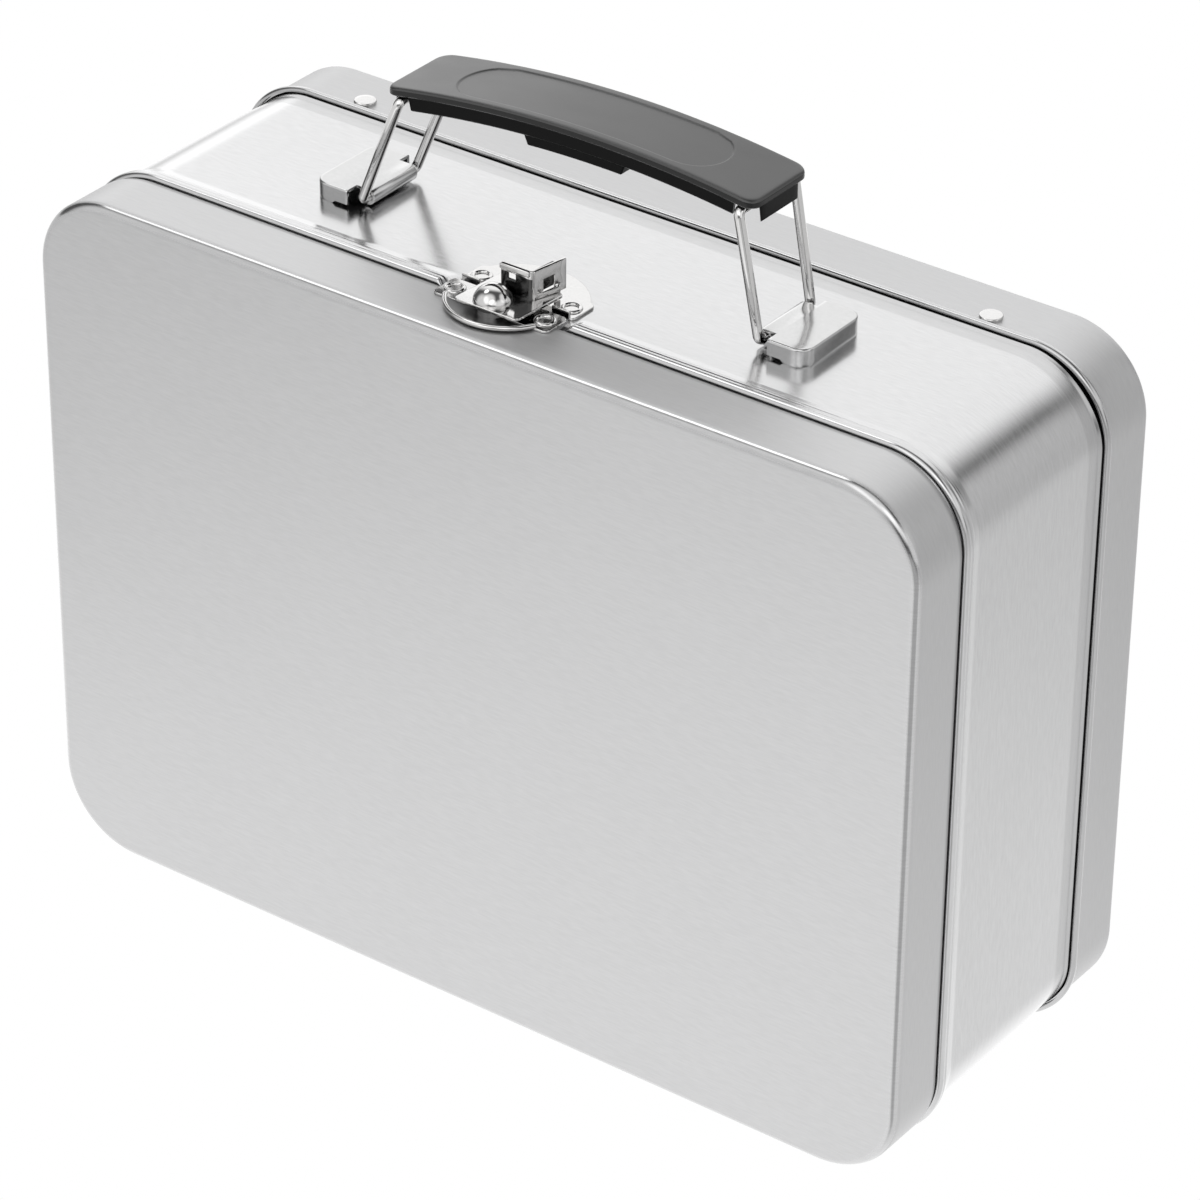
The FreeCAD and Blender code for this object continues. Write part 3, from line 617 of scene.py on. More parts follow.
def panel_rings(grow, y):
    """Rings of a flat panel, from its middle out to the start of its rounded edge."""
    flat = grow - PANEL_EDGE
    return [ring(flat, y, share) for share in PANEL_SHARES] + rings_along([(flat, y), (grow, y)])


def pan_rings(out, panel_y, inward):
    """Rings of a pressed pan: outside from the middle of its panel over the quarter-round edge to the wall,
    and inside from the wall back to the middle."""
    centre = out - PAN_EDGE_R, panel_y + inward * PAN_EDGE_R
    edge = arc(centre, PAN_EDGE_R, -90 * inward, 0, 12)
    inner_edge = arc(centre, PAN_EDGE_R - SHEET, 0, -90 * inward, 8)
    outside = panel_rings(edge[0, 0], panel_y) + rings_along([*edge[1:], (out, edge[-1, 1] + inward / 2)])
    inside = rings_along(inner_edge) + panel_rings(inner_edge[-1, 0], panel_y + inward * SHEET)[::-1]
    return outside, inside


def front_lid():
    """Lid pan, whose rim follows the tongue under the latch and the hinge notches.

    Elsewhere the rim curls in by LIP times the square of the way along the lip."""
    rim = np.where(AT_TONGUE, LID_RIM + TONGUE, np.where(AT_HINGE, HINGE_LID_CUT, LID_RIM))
    lip = np.where(AT_TONGUE | AT_HINGE, 0.0, LIP)
    outside, inside = pan_rings(LID_OUT, FRONT, 1)
    wall_end = HINGE_LID_CUT - SHEET
    shares = np.linspace(0, 1, 7)

    def curl(wall, way):
        return [ring(wall - lip * share ** 2, rim - LIP_EDGE - LIP_LENGTH * (1 - share)) for share in way]

    rings = outside + [ring(LID_OUT, wall_end)] + curl(LID_OUT, shares)
    rings += [ring(LID_OUT - lip - SHEET / 4, rim), ring(LID_IN - lip + SHEET / 4, rim)]
    rings += curl(LID_IN, shares[::-2]) + [ring(LID_IN, wall_end)] + inside
    return stack(rings)


def bead_profile():
    """Bead height against depth: upright front and quarter round, low waves that sink towards the back,
    H - fall - A (1 - cos(2 pi (y - R) / pitch)), then a straight ramp down to the band."""
    front = arc((BEAD_H - BEAD_ROUND, BEAD_FRONT + BEAD_ROUND), BEAD_ROUND, -90, 0, 8)
    far = np.arange(BEAD_ROUND + 0.1, WAVES_END, 0.1)
    fall = (BEAD_H - RAMP_H - 0.1) * smoothstep(1.6, WAVES_END + 0.4, far)
    wave = WAVE_H * (1 - np.cos(2 * math.pi * (far - BEAD_ROUND) / WAVE_PITCH))
    waves = np.column_stack((BEAD_H - fall - wave, BEAD_FRONT + far))
    foot = BEAD_FRONT + WAVES_END + 0.25
    end = BEAD_FRONT + RAMP_END
    ramp = [(RAMP_H, foot), (RAMP_H * 0.94, foot + 0.15), (RAMP_H * 0.5, (foot + end) / 2)]
    ramp += [(RAMP_H * 0.05, end - 0.12), (0, end)]
    return np.concatenate(([(0, BEAD_FRONT)], front, waves, ramp))


def body_band():
    """Band sheet as one closed loop of rings: collar, bead, wall and back edge outside, then the inside
    with the bead's groove and the folded hem. It flares at the back cover's rim and its corners draw in.

    The profile holds growth, depth and height of the bead."""
    bead = bead_profile()
    slope_end = bead[-1, 1]
    wall_y = np.concatenate(([slope_end + 0.6], np.linspace(slope_end + 3, COVER_RIM - 1.6, 14)))
    flare = [(0, -1.2), (0.03, -1.05), (FLARE, -0.5), (FLARE, -0.4), (0, 0.15)]
    hem_end = COLLAR_FRONT + HEM_DEPTH
    groove = BEAD_FRONT + SHEET
    profile = [(0, COLLAR_FRONT + EASE, 0), (0, BEAD_FRONT - 0.3, 0)]
    profile += [(0, y, height) for height, y in bead]
    profile += [(0, y, 0) for y in wall_y]
    profile += [(rise, COVER_RIM + away, 0) for rise, away in flare]
    profile += [(0, BAND_BACK - EASE, 0), (-SHEET / 4, BAND_BACK, 0), (-SHEET * 3 / 4, BAND_BACK, 0)]
    profile += [(-SHEET, y, 0) for y in (BAND_BACK - EASE, *wall_y[::-1])]
    profile += [(-SHEET, y, height) for height, y in bead[::-3] if y > BEAD_FRONT + 0.9]
    profile += [(-SHEET, groove, BEAD_H - SHEET), (-SHEET, groove, 0), (-SHEET, hem_end, 0)]
    profile += [(-2 * SHEET, hem_end, 0), (-2 * SHEET, COLLAR_FRONT + EASE, 0), (-SHEET, COLLAR_FRONT, 0)]
    rings = []
    for grow, y, height in profile:
        depth = np.where(AT_HINGE, max(y, HINGE_BAND_CUT), y)
        dip = CORNER_DIP * CORNERNESS * smoothstep(COVER_RIM - CORNER_DIP_REACH, COVER_RIM, y)
        rings.append(ring(grow + height * BEAD_SHARE - dip, depth))
    return stack(rings, loop=True)


def outer_rear(points, normals):
    """1 on the band's outer face near the back cover, where the band takes painted shade: the normal points
    away from the case's axis.
    """
    outward = normals[:, 0] * points[:, 0] + normals[:, 2] * (points[:, 2] - MID_Z) > 0
    return outward & (points[:, 1] > COVER_RIM - REAR_REACH)


def back_cover():
    """Cover pan with the curled rim that stands off the band."""
    foot_r, curl_r = 0.25, 0.15
    outside, inside = pan_rings(COVER_OUT, BACK, -1)
    rim_back = COVER_RIM + RIM_W
    foot = arc((COVER_OUT + foot_r, rim_back + foot_r), foot_r, 180, 270, 4)
    crown_back = arc((RIM_H - RIM_ROUND, rim_back - RIM_ROUND), RIM_ROUND, 90, 0, 6)
    crown_front = arc((RIM_H - RIM_FRONT_R, COVER_RIM + RIM_FRONT_R), RIM_FRONT_R, 0, -90, 10)
    curl_under = arc((RIM_GAP + curl_r, COVER_RIM + curl_r), curl_r, -90, -180, 5)
    rim = [(COVER_OUT, (BACK + COVER_RIM) / 2), *foot, *crown_back, *crown_front, *curl_under,
           (RIM_GAP, rim_back - SHEET), (COVER_IN, rim_back - SHEET)]
    return stack(outside + rings_along(rim) + inside)


# Turned, flat and bent shapes

def revolve(profile, centre, up=1, steps=32, loop=False):
    """Profile of radius and height turned about an upright axis: (r cos, r sin, up h) round the centre."""
    turn = np.linspace(0, 2 * math.pi, steps, endpoint=False)
    radius, height = np.asarray(profile, float).T
    x = centre[0] + np.outer(radius, np.cos(turn))
    y = centre[1] + np.outer(radius, np.sin(turn))
    z = centre[2] + up * np.repeat(height[:, None], steps, 1)
    return stack(np.stack((x, y, z), -1), loop)


def slab(outline, low, high):
    """Upright prism on a closed plan outline."""
    return capped([level(outline, z) for z in (low, high)])


def block(x0, x1, y0, y1, z0, z1):
    """Upright block between two corners."""
    return slab([(x0, y0), (x1, y0), (x1, y1), (x0, y1)], z0, z1)


def rounded_plan(x0, x1, y0, y1, radius, steps=6):
    """Plan of a rectangle with round corners, anticlockwise."""
    corners = ((x1 - radius, y0 + radius, -90), (x1 - radius, y1 - radius, 0),
               (x0 + radius, y1 - radius, 90), (x0 + radius, y0 + radius, 180))
    return np.concatenate([arc((x, y), radius, start, start + 90, steps) for x, y, start in corners])


def tube(path, across, radius, sides):
    """Round bar along a planar path: P + radius (cos a · N + sin a · across).

    N is square to the path and to across."""
    side = unit(np.cross(np.gradient(path, axis=0), across))
    turn = np.linspace(0, 2 * math.pi, sides, endpoint=False)[None, :, None]
    spoke = np.cos(turn) * side[:, None, :] + np.sin(turn) * np.asarray(across)
    return capped(path[:, None, :] + radius * spoke)


def bent_path(corners, radius, steps=10):
    """Straight runs through the corners, each turned by an arc of the given radius.

    The arc's centre lies on the corner's bisector, radius over the sine of half the angle away."""
    corners = np.asarray(corners, float)
    path = [corners[:1]]
    for before, corner, after in zip(corners, corners[1:], corners[2:]):
        back = unit(before - corner)
        ahead = unit(after - corner)
        half = math.acos(np.clip(back @ ahead, -1, 1)) / 2
        middle = unit(back + ahead)
        square = unit(ahead - back)
        sweep = np.linspace(half - math.pi / 2, math.pi / 2 - half, steps + 1)[:, None]
        centre = corner + middle * radius / math.sin(half)
        path.append(centre - radius * (np.cos(sweep) * middle - np.sin(sweep) * square))
    path.append(corners[-1:])
    return np.concatenate(path)


def cover_rivets():
    """Four flat-headed rivets: head with a rounded edge, shank through the sheets and a flat tail."""
    low, high = node_box("cover_rivets")
    head_r, head_h, crown_r, shank_r, tail_r, tail_h = 2.25, 0.7, 0.3, 1.2, 1.8, 0.4
    under = -COVER_OUT - SHEET
    x = high[0] - head_r
    y = (low[1] + high[1]) / 2
    profile = np.concatenate((
        [(0, head_h), (shank_r, head_h)],
        arc((head_r - crown_r, head_h - crown_r), crown_r, 90, 0, 5),
        [(head_r, 0), (shank_r, 0), (shank_r, under), (tail_r, under)],
        [(tail_r, under - tail_h), (0, under - tail_h)],
    ))
    walls = ((TOP + COVER_OUT, 1), (BOTTOM - COVER_OUT, -1))
    return join(*(revolve(profile, (side * x, y, z), up) for side in (-1, 1) for z, up in walls))


def eyelets(y, plate_top):
    """Pair of hollow rivets: a rolled head round a bore, a shank and a flared tail, turned as a closed
    loop."""
    head_r, bore_r, shank_r, tail_h, sink = 2.15, 1.2, 1.45, 0.25, 0.05
    under = -LATCH_PLATE - SHEET
    profile = np.concatenate((
        [(bore_r, under - tail_h)],
        arc(((head_r + bore_r) / 2, -sink), (head_r - bore_r) / 2, 180, 0, 10),
        [(head_r, -sink), (shank_r, 0), (shank_r, under), (head_r, under), (head_r, under - tail_h)],
    ))
    return join(*(revolve(profile, (LATCH_X + side * EYELET_HALF, y, plate_top), loop=True)
                  for side in (-1, 1)))


# Mount caps and bails

def cap_shell(side):
    """Mount cap sheet: a flat top with its front, outer and back edges turned down, and the knuckle rolled
    at its inner end. The wall is a quarter round and a straight drop carried along the three sides."""
    inner = RIGHT_BASE[0]
    outer = inner + CAP_LENGTH
    start = inner + CAP_NOTCH
    lead = inner + CAP_LEAD
    top_z = TOP + CAP_H
    straight = np.linspace(start, outer - CAP_CORNER, 8)
    bend = arc((0, 0), 1.0, -90, 0, 8)
    front = level(straight, -CAP_HALF)
    corner = np.array((outer - CAP_CORNER, -CAP_HALF + CAP_CORNER)) + CAP_CORNER * bend
    half_path = np.concatenate((front, corner[1:]))
    half_out = np.concatenate((np.tile((0.0, -1.0), (len(front), 1)), bend[1:]))
    path, out = (np.concatenate((half, half[::-1] * (1, -1))) for half in (half_path, half_out))
    relief = np.where(path[:, 0] < inner + CAP_RELIEF - STEP, CAP_RELIEF_H, 0.0)
    margin = path - (CAP_ROUND + 0.3) * out
    margin[[0, -1], 0] = start
    rows = [level(margin, top_z)]
    fillet = arc((-CAP_ROUND, CAP_H - CAP_ROUND), CAP_ROUND, 90, 0, 6)
    for inset, height in np.concatenate((fillet, [(0, CAP_H / 2), (0, CAP_RELIEF_H + 0.1), (0, 0)])):
        rows.append(np.column_stack((path + inset * out, TOP + np.maximum(height, relief))))
    wall = stack(rows, closed=False)
    notch = [(start, KNUCKLE_HALF), (lead, KNUCKLE_HALF), (lead, -KNUCKLE_HALF), (start, -KNUCKLE_HALF)]
    top_points = np.concatenate((rows[0], level(notch, top_z)))
    top = top_points, [list(range(len(top_points)))]
    roll = arc((inner, RIGHT_BASE[2]), KNUCKLE_R, 90, 400, 36)
    roll = np.concatenate(([(lead, top_z), (lead - 2 * CAP_LEAD / 3, top_z)], roll))
    edges = [np.insert(roll, 1, y, axis=1) for y in (-KNUCKLE_HALF, KNUCKLE_HALF)]
    knuckle = stack(edges, closed=False)
    points, faces = join(wall, top, knuckle)
    return points * (side, 1, 1), faces


def cap_tabs(side):
    """Feet of a cap's two clinched tabs, turned in under the band."""
    x = RIGHT_BASE[0] + CAP_LENGTH - TAB_INSET
    under = TOP - SHEET
    feet = (-CAP_HALF, -CAP_HALF + TAB_FOOT), (CAP_HALF - TAB_FOOT, CAP_HALF)
    points, faces = join(*(block(x - TAB_W / 2, x + TAB_W / 2, *foot, under - CAP_SHEET, under)
                           for foot in feet))
    return points * (side, 1, 1), faces


def bail_wire(base, tip):
    """Wire trapezium: lower bar in the knuckle, two legs and the upper bar in the grip; its ends butt."""
    along_y = np.array((0.0, 1.0, 0.0))
    corners = [base + along_y * BUTT_GAP, base + along_y * BAIL_LOW, tip + along_y * BAIL_HIGH,
               tip - along_y * BAIL_HIGH, base - along_y * BAIL_LOW, base - along_y * BUTT_GAP]
    return tube(bent_path(corners, WIRE_BEND), np.cross(along_y, unit(tip - base)), WIRE_R, 24)


def right_tip():
    """Where the right bail's circle meets the grip's: two circles of the bail's and the pivots' length."""
    line = RIGHT_BASE - LEFT_TIP
    span = np.linalg.norm(line)
    bail_length = np.linalg.norm(LEFT_TIP - LEFT_BASE)
    along = ((2 * GRIP_PIVOT) ** 2 - bail_length ** 2 + span ** 2) / (2 * span)
    rise = math.sqrt((2 * GRIP_PIVOT) ** 2 - along ** 2)
    return LEFT_TIP + line * along / span + np.array((-line[2], 0, line[0])) * rise / span


# Grip

RIGHT_TIP = right_tip()
TILT_COS, _, TILT_SIN = unit(RIGHT_TIP - LEFT_TIP)
GRIP_PIVOT_Z = math.sqrt(ARCH_R ** 2 - GRIP_PIVOT ** 2) - ARCH_DROP - PIVOT_DROP


def on_arch(x, y, depth):
    """Grip points a depth below the arched top, carried to the bails: z = √((R − d)² − x²) − drop."""
    z = np.sqrt((ARCH_R - depth) ** 2 - x ** 2) - ARCH_DROP
    u = x + GRIP_PIVOT
    v = z - GRIP_PIVOT_Z
    return np.column_stack((LEFT_TIP[0] + u * TILT_COS - v * TILT_SIN, y,
                            LEFT_TIP[2] + u * TILT_SIN + v * TILT_COS))


def by_depth(points, normals):
    """Finish by depth below the arched top: 0 on top, 2 on the rim's side with painted shade, 1 below the
    rim with darker painted shade.
    """
    u, v = points[:, 0] - LEFT_TIP[0], points[:, 2] - LEFT_TIP[2]
    x = u * TILT_COS + v * TILT_SIN - GRIP_PIVOT
    z = v * TILT_COS - u * TILT_SIN + GRIP_PIVOT_Z + ARCH_DROP
    depth = ARCH_R - np.hypot(x, z)
    return np.where(depth > GRIP_RIM - 0.1, 1, np.where(depth > GRIP_ROUND - 0.15, 2, 0))


def grip_outlines():
    """Plan of the grip's rim and, point for point, the nearest point of the stadium's axis and the ray of
    length 1 from there to the rim."""
    spine = RIDGE_HALF - RIDGE_HALF_W
    straight = np.linspace(-spine, spine, 25)
    beside_slot = GRIP_PIVOT + np.array((-1.8, -1.3, -0.6, 0.1))
    reach = np.concatenate((np.linspace(spine, GRIP_PIVOT - 4.5, 5)[1:], beside_slot,
                            [GRIP_HALF - GRIP_CORNER]))
    side = level(reach, -GRIP_HALF_W)
    bend = arc((GRIP_HALF - GRIP_CORNER, -GRIP_HALF_W + GRIP_CORNER), GRIP_CORNER, -90, 0, 8)[1:]
    end = np.column_stack((np.full(5, GRIP_HALF), np.linspace(-GRIP_HALF_W + GRIP_CORNER, 0, 6)[1:]))
    quarter = np.concatenate((side, bend, end))
    cap = np.concatenate((quarter, quarter[-2::-1] * (1, -1)))
    low = level(straight, -GRIP_HALF_W)
    rim = np.concatenate((low, cap[:-1], low[::-1] * (1, -1), (cap[::-1] * (-1, 1))[1:]))
    axis = level(np.clip(rim[:, 0], -spine, spine), 0)
    return rim, axis, unit(rim - axis)


GRIP_PLAN, GRIP_AXIS, GRIP_RAY = grip_outlines()


def in_slot(slot):
    """Points of the grip's plan on its long sides between the ends of a bail's slot."""
    x, y = GRIP_PLAN.T
    return (x > slot[0]) & (x < slot[1]) & (np.abs(y) > SLOT_SIDE)


SLOTS = in_slot(SLOT_LEFT) | in_slot(SLOT_RIGHT)
SLOT_ROOF = GRIP_RIM - np.where(GRIP_PLAN[:, 0] > SLOT_RIGHT[0], SLOT_RISE, 0.0)


def grip_ring(inset_x, inset_y, depth):
    """Rim outline drawn in by two insets, at a depth below the arched top."""
    plan = GRIP_PLAN * ((GRIP_HALF - inset_x) / GRIP_HALF, (GRIP_HALF_W - inset_y) / GRIP_HALF_W)
    return on_arch(plan[:, 0], plan[:, 1], depth)


def stadium_ring(half_width, depth):
    """Stadium outline of the given half width: axis + half_width · ray."""
    plan = GRIP_AXIS + half_width * GRIP_RAY
    return on_arch(plan[:, 0], plan[:, 1], depth)


def grip_shell():
    """Grip moulding as a stack of rings: sunk stadium field on top, rounded rim, underside step, skirt with
    open slots for the bails, and hollow inside."""
    field = RIDGE_HALF_W - RIDGE_LINE
    low = GRIP_RIM + SKIRT_H
    side_inset = GRIP_HALF_W - SKIRT_HALF_W
    hollow_x, hollow_y = SKIRT_END + SKIRT_END_WALL, side_inset + SKIRT_WALL
    roof_half = 3.0
    rings = [stadium_ring(width, RIDGE_H) for width in (*np.linspace(0, field - EASE, 5), field)]
    for share in np.linspace(0, 1, 6)[1:]:
        rings.append(stadium_ring(field + RIDGE_LINE * share, RIDGE_H * (1 - smoothstep(0, 1, share))))
    rings.append(stadium_ring(RIDGE_HALF_W + EASE, 0))
    rounding = arc((GRIP_ROUND, GRIP_ROUND), GRIP_ROUND, -90, -180, 6)
    edge = [(GRIP_ROUND + 0.5, 0), *rounding, (0, GRIP_RIM - SKIRT_ROUND), (EASE, GRIP_RIM)]
    rings += [grip_ring(inset, inset, depth) for inset, depth in edge]
    skirt = (
        (SKIRT_END, side_inset - EASE, GRIP_RIM),
        (SKIRT_END, side_inset, GRIP_RIM + EASE),
        (SKIRT_END, side_inset, low - SKIRT_ROUND),
        (SKIRT_END + SKIRT_ROUND, side_inset + SKIRT_ROUND, low),
        (hollow_x, hollow_y, low),
    )
    rings += [grip_ring(end, side, np.where(SLOTS, SLOT_ROOF, depth)) for end, side, depth in skirt]
    rings += [grip_ring(hollow_x, hollow_y, SLOT_ROOF), stadium_ring(roof_half, GRIP_RIM)]
    rings.append(stadium_ring(0, GRIP_RIM))
    return stack(rings)


def grip_insert():
    """Insert strip: an arched bar with a sloped block under its middle, its side profile carried across."""
    half_length, plate, block_half, block_h, slope = 33.0, 1.2, 11.5, 2.5, 1.0
    half_w = SKIRT_HALF_W - SKIRT_WALL - 0.1
    low = GRIP_RIM + SKIRT_H
    wing = np.linspace(-half_length, -block_half, 9)
    foot = np.linspace(-block_half + slope, block_half - slope, 9)
    runs = ((np.linspace(half_length, -half_length, 25), low - plate), (wing, low), (foot, low + block_h),
            (-wing[::-1], low))
    x = np.concatenate([places for places, _ in runs])
    depth = np.concatenate([np.full_like(places, below) for places, below in runs])
    return capped([on_arch(x, np.full_like(x, y), depth) for y in (-half_w, half_w)])


# Latch

def front_ears():
    """Straight part of the latch's front plate, with its round-cornered ears."""
    plan = rounded_plan(LATCH_X - LATCH_HALF, LATCH_X + LATCH_HALF, PLATE_BACK - FRONT_EAR,
                        PLATE_BACK, LATCH_EAR_R)
    return slab(plan, LID_TOP, LATCH_TOP)


def front_bowl():
    """Half-round bow of the front plate, dished inside its rim.

    Polar grid from the ears' line to the rim; its height dips by a half wave and lifts towards the rim."""
    outer = DISC_R - DISC_RIM
    widest = math.acos(EAR_FRONT / outer)
    turn = np.linspace(-widest, widest, 61)[None, :]
    share = np.linspace(0, 1, 15)[:, None]
    chord = EAR_FRONT / np.cos(turn)
    radius = chord + (outer - chord) * share
    reach = np.clip((radius - EAR_FRONT) / (DISC_R - EAR_FRONT), 0, 1)
    height = -BOWL_DEPTH * np.sin(math.pi * reach) + BOWL_LIFT * reach ** 3
    x = LATCH_X + radius * np.sin(turn)
    y = DISC_Y - radius * np.cos(turn)
    return stack(np.stack((x, y, LATCH_TOP + height), -1), closed=False)


def front_rim():
    """Rolled rim of the bow: a round bar along its arc."""
    widest = math.acos(EAR_FRONT / DISC_R) + 0.02
    turn = np.linspace(-widest, widest, 61)
    radius = DISC_R - DISC_RIM
    plan = np.column_stack((LATCH_X + radius * np.sin(turn), DISC_Y - radius * np.cos(turn)))
    return tube(level(plan, LATCH_TOP + DISC_RIM / 2), (0.0, 0.0, 1.0), DISC_RIM, 16)


def rear_plate():
    """Latch plate on the band: round-cornered ears in front of a round back, and two upright catch lips."""
    spread = math.degrees(math.asin(REAR_EAR / REAR_R))
    ear_x = LATCH_HALF - LATCH_EAR_R
    half = np.concatenate((
        arc((ear_x, LATCH_EAR_R), LATCH_EAR_R, -90, 0, 5),
        arc((ear_x, REAR_EAR - LATCH_EAR_R), LATCH_EAR_R, 0, 60, 4),
        arc((0, 0), REAR_R, spread + 2, 90, 16),
    ))
    plan = np.concatenate((half, half[-2::-1] * (-1, 1))) + (LATCH_X, REAR_FRONT)
    plate_top = TOP + LATCH_PLATE
    lips = [block(LATCH_X + near, LATCH_X + far, REAR_FRONT, REAR_FRONT + LATCH_PLATE, TOP + 0.1,
                  plate_top + CATCH_H) for near, far in ((-CATCH_TO, -CATCH_FROM), (CATCH_FROM, CATCH_TO))]
    return join(slab(plan, TOP, plate_top), *lips)


def pivot_dome():
    """Pivot rivet: a polished dome on a thin collar."""
    dome_r, dome_h, collar, sink = 3.7, 2.6, 0.5, 0.02
    ball = (dome_r ** 2 + dome_h ** 2) / (2 * dome_h)
    open_angle = math.degrees(math.asin(dome_r / ball))
    cap = arc((0, collar + dome_h - ball), ball, 90, 90 - open_angle, 16)
    base = LATCH_X, PIVOT_Y, TURN_TOP + 0.05
    return revolve(np.concatenate((cap, [(dome_r, -sink), (0, -sink)])), base, steps=56)


def pivot_boss():
    """Round boss of the front plate that the turning plate lies on."""
    radius, chamfer = 3.4, 0.2
    height = TURN_LOW - TURN_GAP - LID_TOP
    profile = [(0, height), (radius - chamfer, height), (radius, height - chamfer), (radius, 0), (0, 0)]
    return revolve(profile, (LATCH_X, PIVOT_Y, LID_TOP), steps=48)


def turn_plate():
    """Turning plate under the dome, with round corners, and the prong that drops at its back.

    It leans back: its height falls by TURN_LEAN times the distance behind the pivot."""
    left, right, front, back, corner = 6.0, 8.2, 4.1, 10.6, 1.0
    plan = rounded_plan(LATCH_X - left, LATCH_X + right, PIVOT_Y - front, PIVOT_Y + back, corner)
    points, faces = slab(plan, TURN_LOW, TURN_TOP)
    points[:, 2] -= TURN_LEAN * (points[:, 1] - PIVOT_Y)
    prong = block(THUMB_RIGHT - TURN_SHEET / 2, THUMB_RIGHT + TURN_SHEET / 2, THUMB_BACK - 1.4, THUMB_BACK,
                  PRONG_LOW, TURN_TOP)
    return join((points, faces), prong)


def thumb_front(points, normals):
    """1 on the thumb tab's cross wall below its hem, which takes the steel with painted shade."""
    return (points[:, 1] < THUMB_FRONT + 0.2) & (points[:, 2] < THUMB_TOP - THUMB_HEM)


def thumb_tab():
    """Upright thumb tab: one strip of sheet bent into an L in plan, with square windows left open.

    A grid of cells along the bent path and up the wall; the cells at the windows are left out."""
    bend = 0.7
    cross_x = np.array((THUMB_LEFT, THUMB_LEFT + 1.5, THUMB_LEFT + 3.3, THUMB_RIGHT - bend))
    side_y = np.append(THUMB_FRONT + np.array((bend, 2.6, 5.2, 6.6)), THUMB_BACK)
    side_x = THUMB_RIGHT + THUMB_SPLAY * (side_y - side_y[0]) / (THUMB_BACK - side_y[0])
    corner = arc((THUMB_RIGHT - bend, THUMB_FRONT + bend), bend, -90, 0, 6)
    plan = np.concatenate((level(cross_x, THUMB_FRONT), corner[1:-1], np.column_stack((side_x, side_y))))
    heights = np.append(TURN_TOP + np.array((-TURN_SHEET, 0.45, 1.1, 2.8, 3.3, 4.1)), THUMB_TOP)
    points, faces = stack([level(plan, z) for z in heights], closed=False)
    faces = np.reshape(faces, (len(heights) - 1, len(plan) - 1, 4))
    keep = np.ones(faces.shape[:2], bool)
    first_side = len(plan) - len(side_y)
    keep[3:5, 1] = False
    keep[1:4, first_side + 1] = False
    keep[1, first_side + 2] = False
    return points, faces[keep].tolist()


def thumb_hem():
    """Folded top edge of the cross wall."""
    return block(THUMB_LEFT - 0.1, THUMB_RIGHT - 0.3, THUMB_FRONT - 0.75, THUMB_FRONT + 0.35,
                 THUMB_TOP - THUMB_HEM, THUMB_TOP)


def thumb_backing():
    """Inner leaf behind the side wall's windows, spread like that wall; its steel carries painted shade, so
    the windows read dark.
    """
    near_x, far_x = THUMB_RIGHT - 1.0, THUMB_RIGHT - 0.4
    near_y, far_y = THUMB_FRONT + 1.6, THUMB_FRONT + 7.4
    plan = [(near_x - TURN_SHEET, near_y), (near_x, near_y), (far_x, far_y), (far_x - TURN_SHEET, far_y)]
    return slab(plan, TURN_TOP, TURN_TOP + 4.5)


# Pieces

def steel_piece(name, shape, body, node, *finishes, **choices):
    """Piece of bright steel, plated where no finish is given."""
    return make_piece(name, shape, body, node, "bright_steel", *(finishes or (PLATED,)), **choices)


def dress_case():
    """Lid, band, cover and rivets."""
    make_piece("front_lid_pan", front_lid(), "lid", "front_lid", "tinplate", LID_TIN)
    # The band's outer face near the cover takes the tinplate with painted shade.
    make_piece("body_band_sheet", body_band(), "body", "body_band", "tinplate", BAND_TIN, BAND_REAR_PAINTED_SHADE,
               finish_of=outer_rear)
    make_piece("back_cover_pan", back_cover(), "body", "back_cover", "tinplate", COVER_TIN)
    steel_piece("cover_rivet_set", cover_rivets(), "body", "cover_rivets")


def dress_latch():
    """Front plate, turning latch, rear plate and their rivets."""
    for name, shape in (("latch_front_ears", front_ears()), ("latch_front_rim", front_rim())):
        bevel(steel_piece(name, shape, "lid", "latch_front_plate"), 0.12)
    # The bowl takes steel with painted shade.
    bowl = steel_piece("latch_front_bowl", front_bowl(), "lid", "latch_front_plate", BOWL_PAINTED_SHADE,
                       facing=Vector((0, 0, 1)))
    solidify(bowl, 0.15, even=False)
    steel_piece("latch_front_boss", pivot_boss(), "lid", "latch_front_plate")
    steel_piece("latch_pivot_dome", pivot_dome(), "lid", "latch_pivot_rivet")
    front_pair = eyelets(PLATE_BACK - EYELET_SET, LATCH_TOP)
    steel_piece("latch_front_eyelet_pair", front_pair, "lid", "latch_front_eyelets")
    rear_pair = eyelets(REAR_FRONT + EYELET_SET, TOP + LATCH_PLATE)
    steel_piece("latch_rear_eyelet_pair", rear_pair, "body", "latch_rear_eyelets")
    bevel(steel_piece("latch_rear_sheet", rear_plate(), "body", "latch_rear_plate"), 0.14)
    bevel(steel_piece("turn_latch_plate", turn_plate(), "latch", "turn_latch"), 0.14)
    # The thumb's cross wall below its hem and the leaf behind its windows take steel with painted shade.
    thumb = steel_piece("turn_latch_thumb", thumb_tab(), "latch", "turn_latch", PLATED, PAINTED_SHADE_STEEL,
                        finish_of=thumb_front)
    solidify(thumb, 0.7, 0)
    bevel(thumb, 0.2, 3)
    bevel(steel_piece("turn_latch_hem", thumb_hem(), "latch", "turn_latch"), 0.3, 4)
    steel_piece("turn_latch_leaf", thumb_backing(), "latch", "turn_latch", PAINTED_SHADE_STEEL)


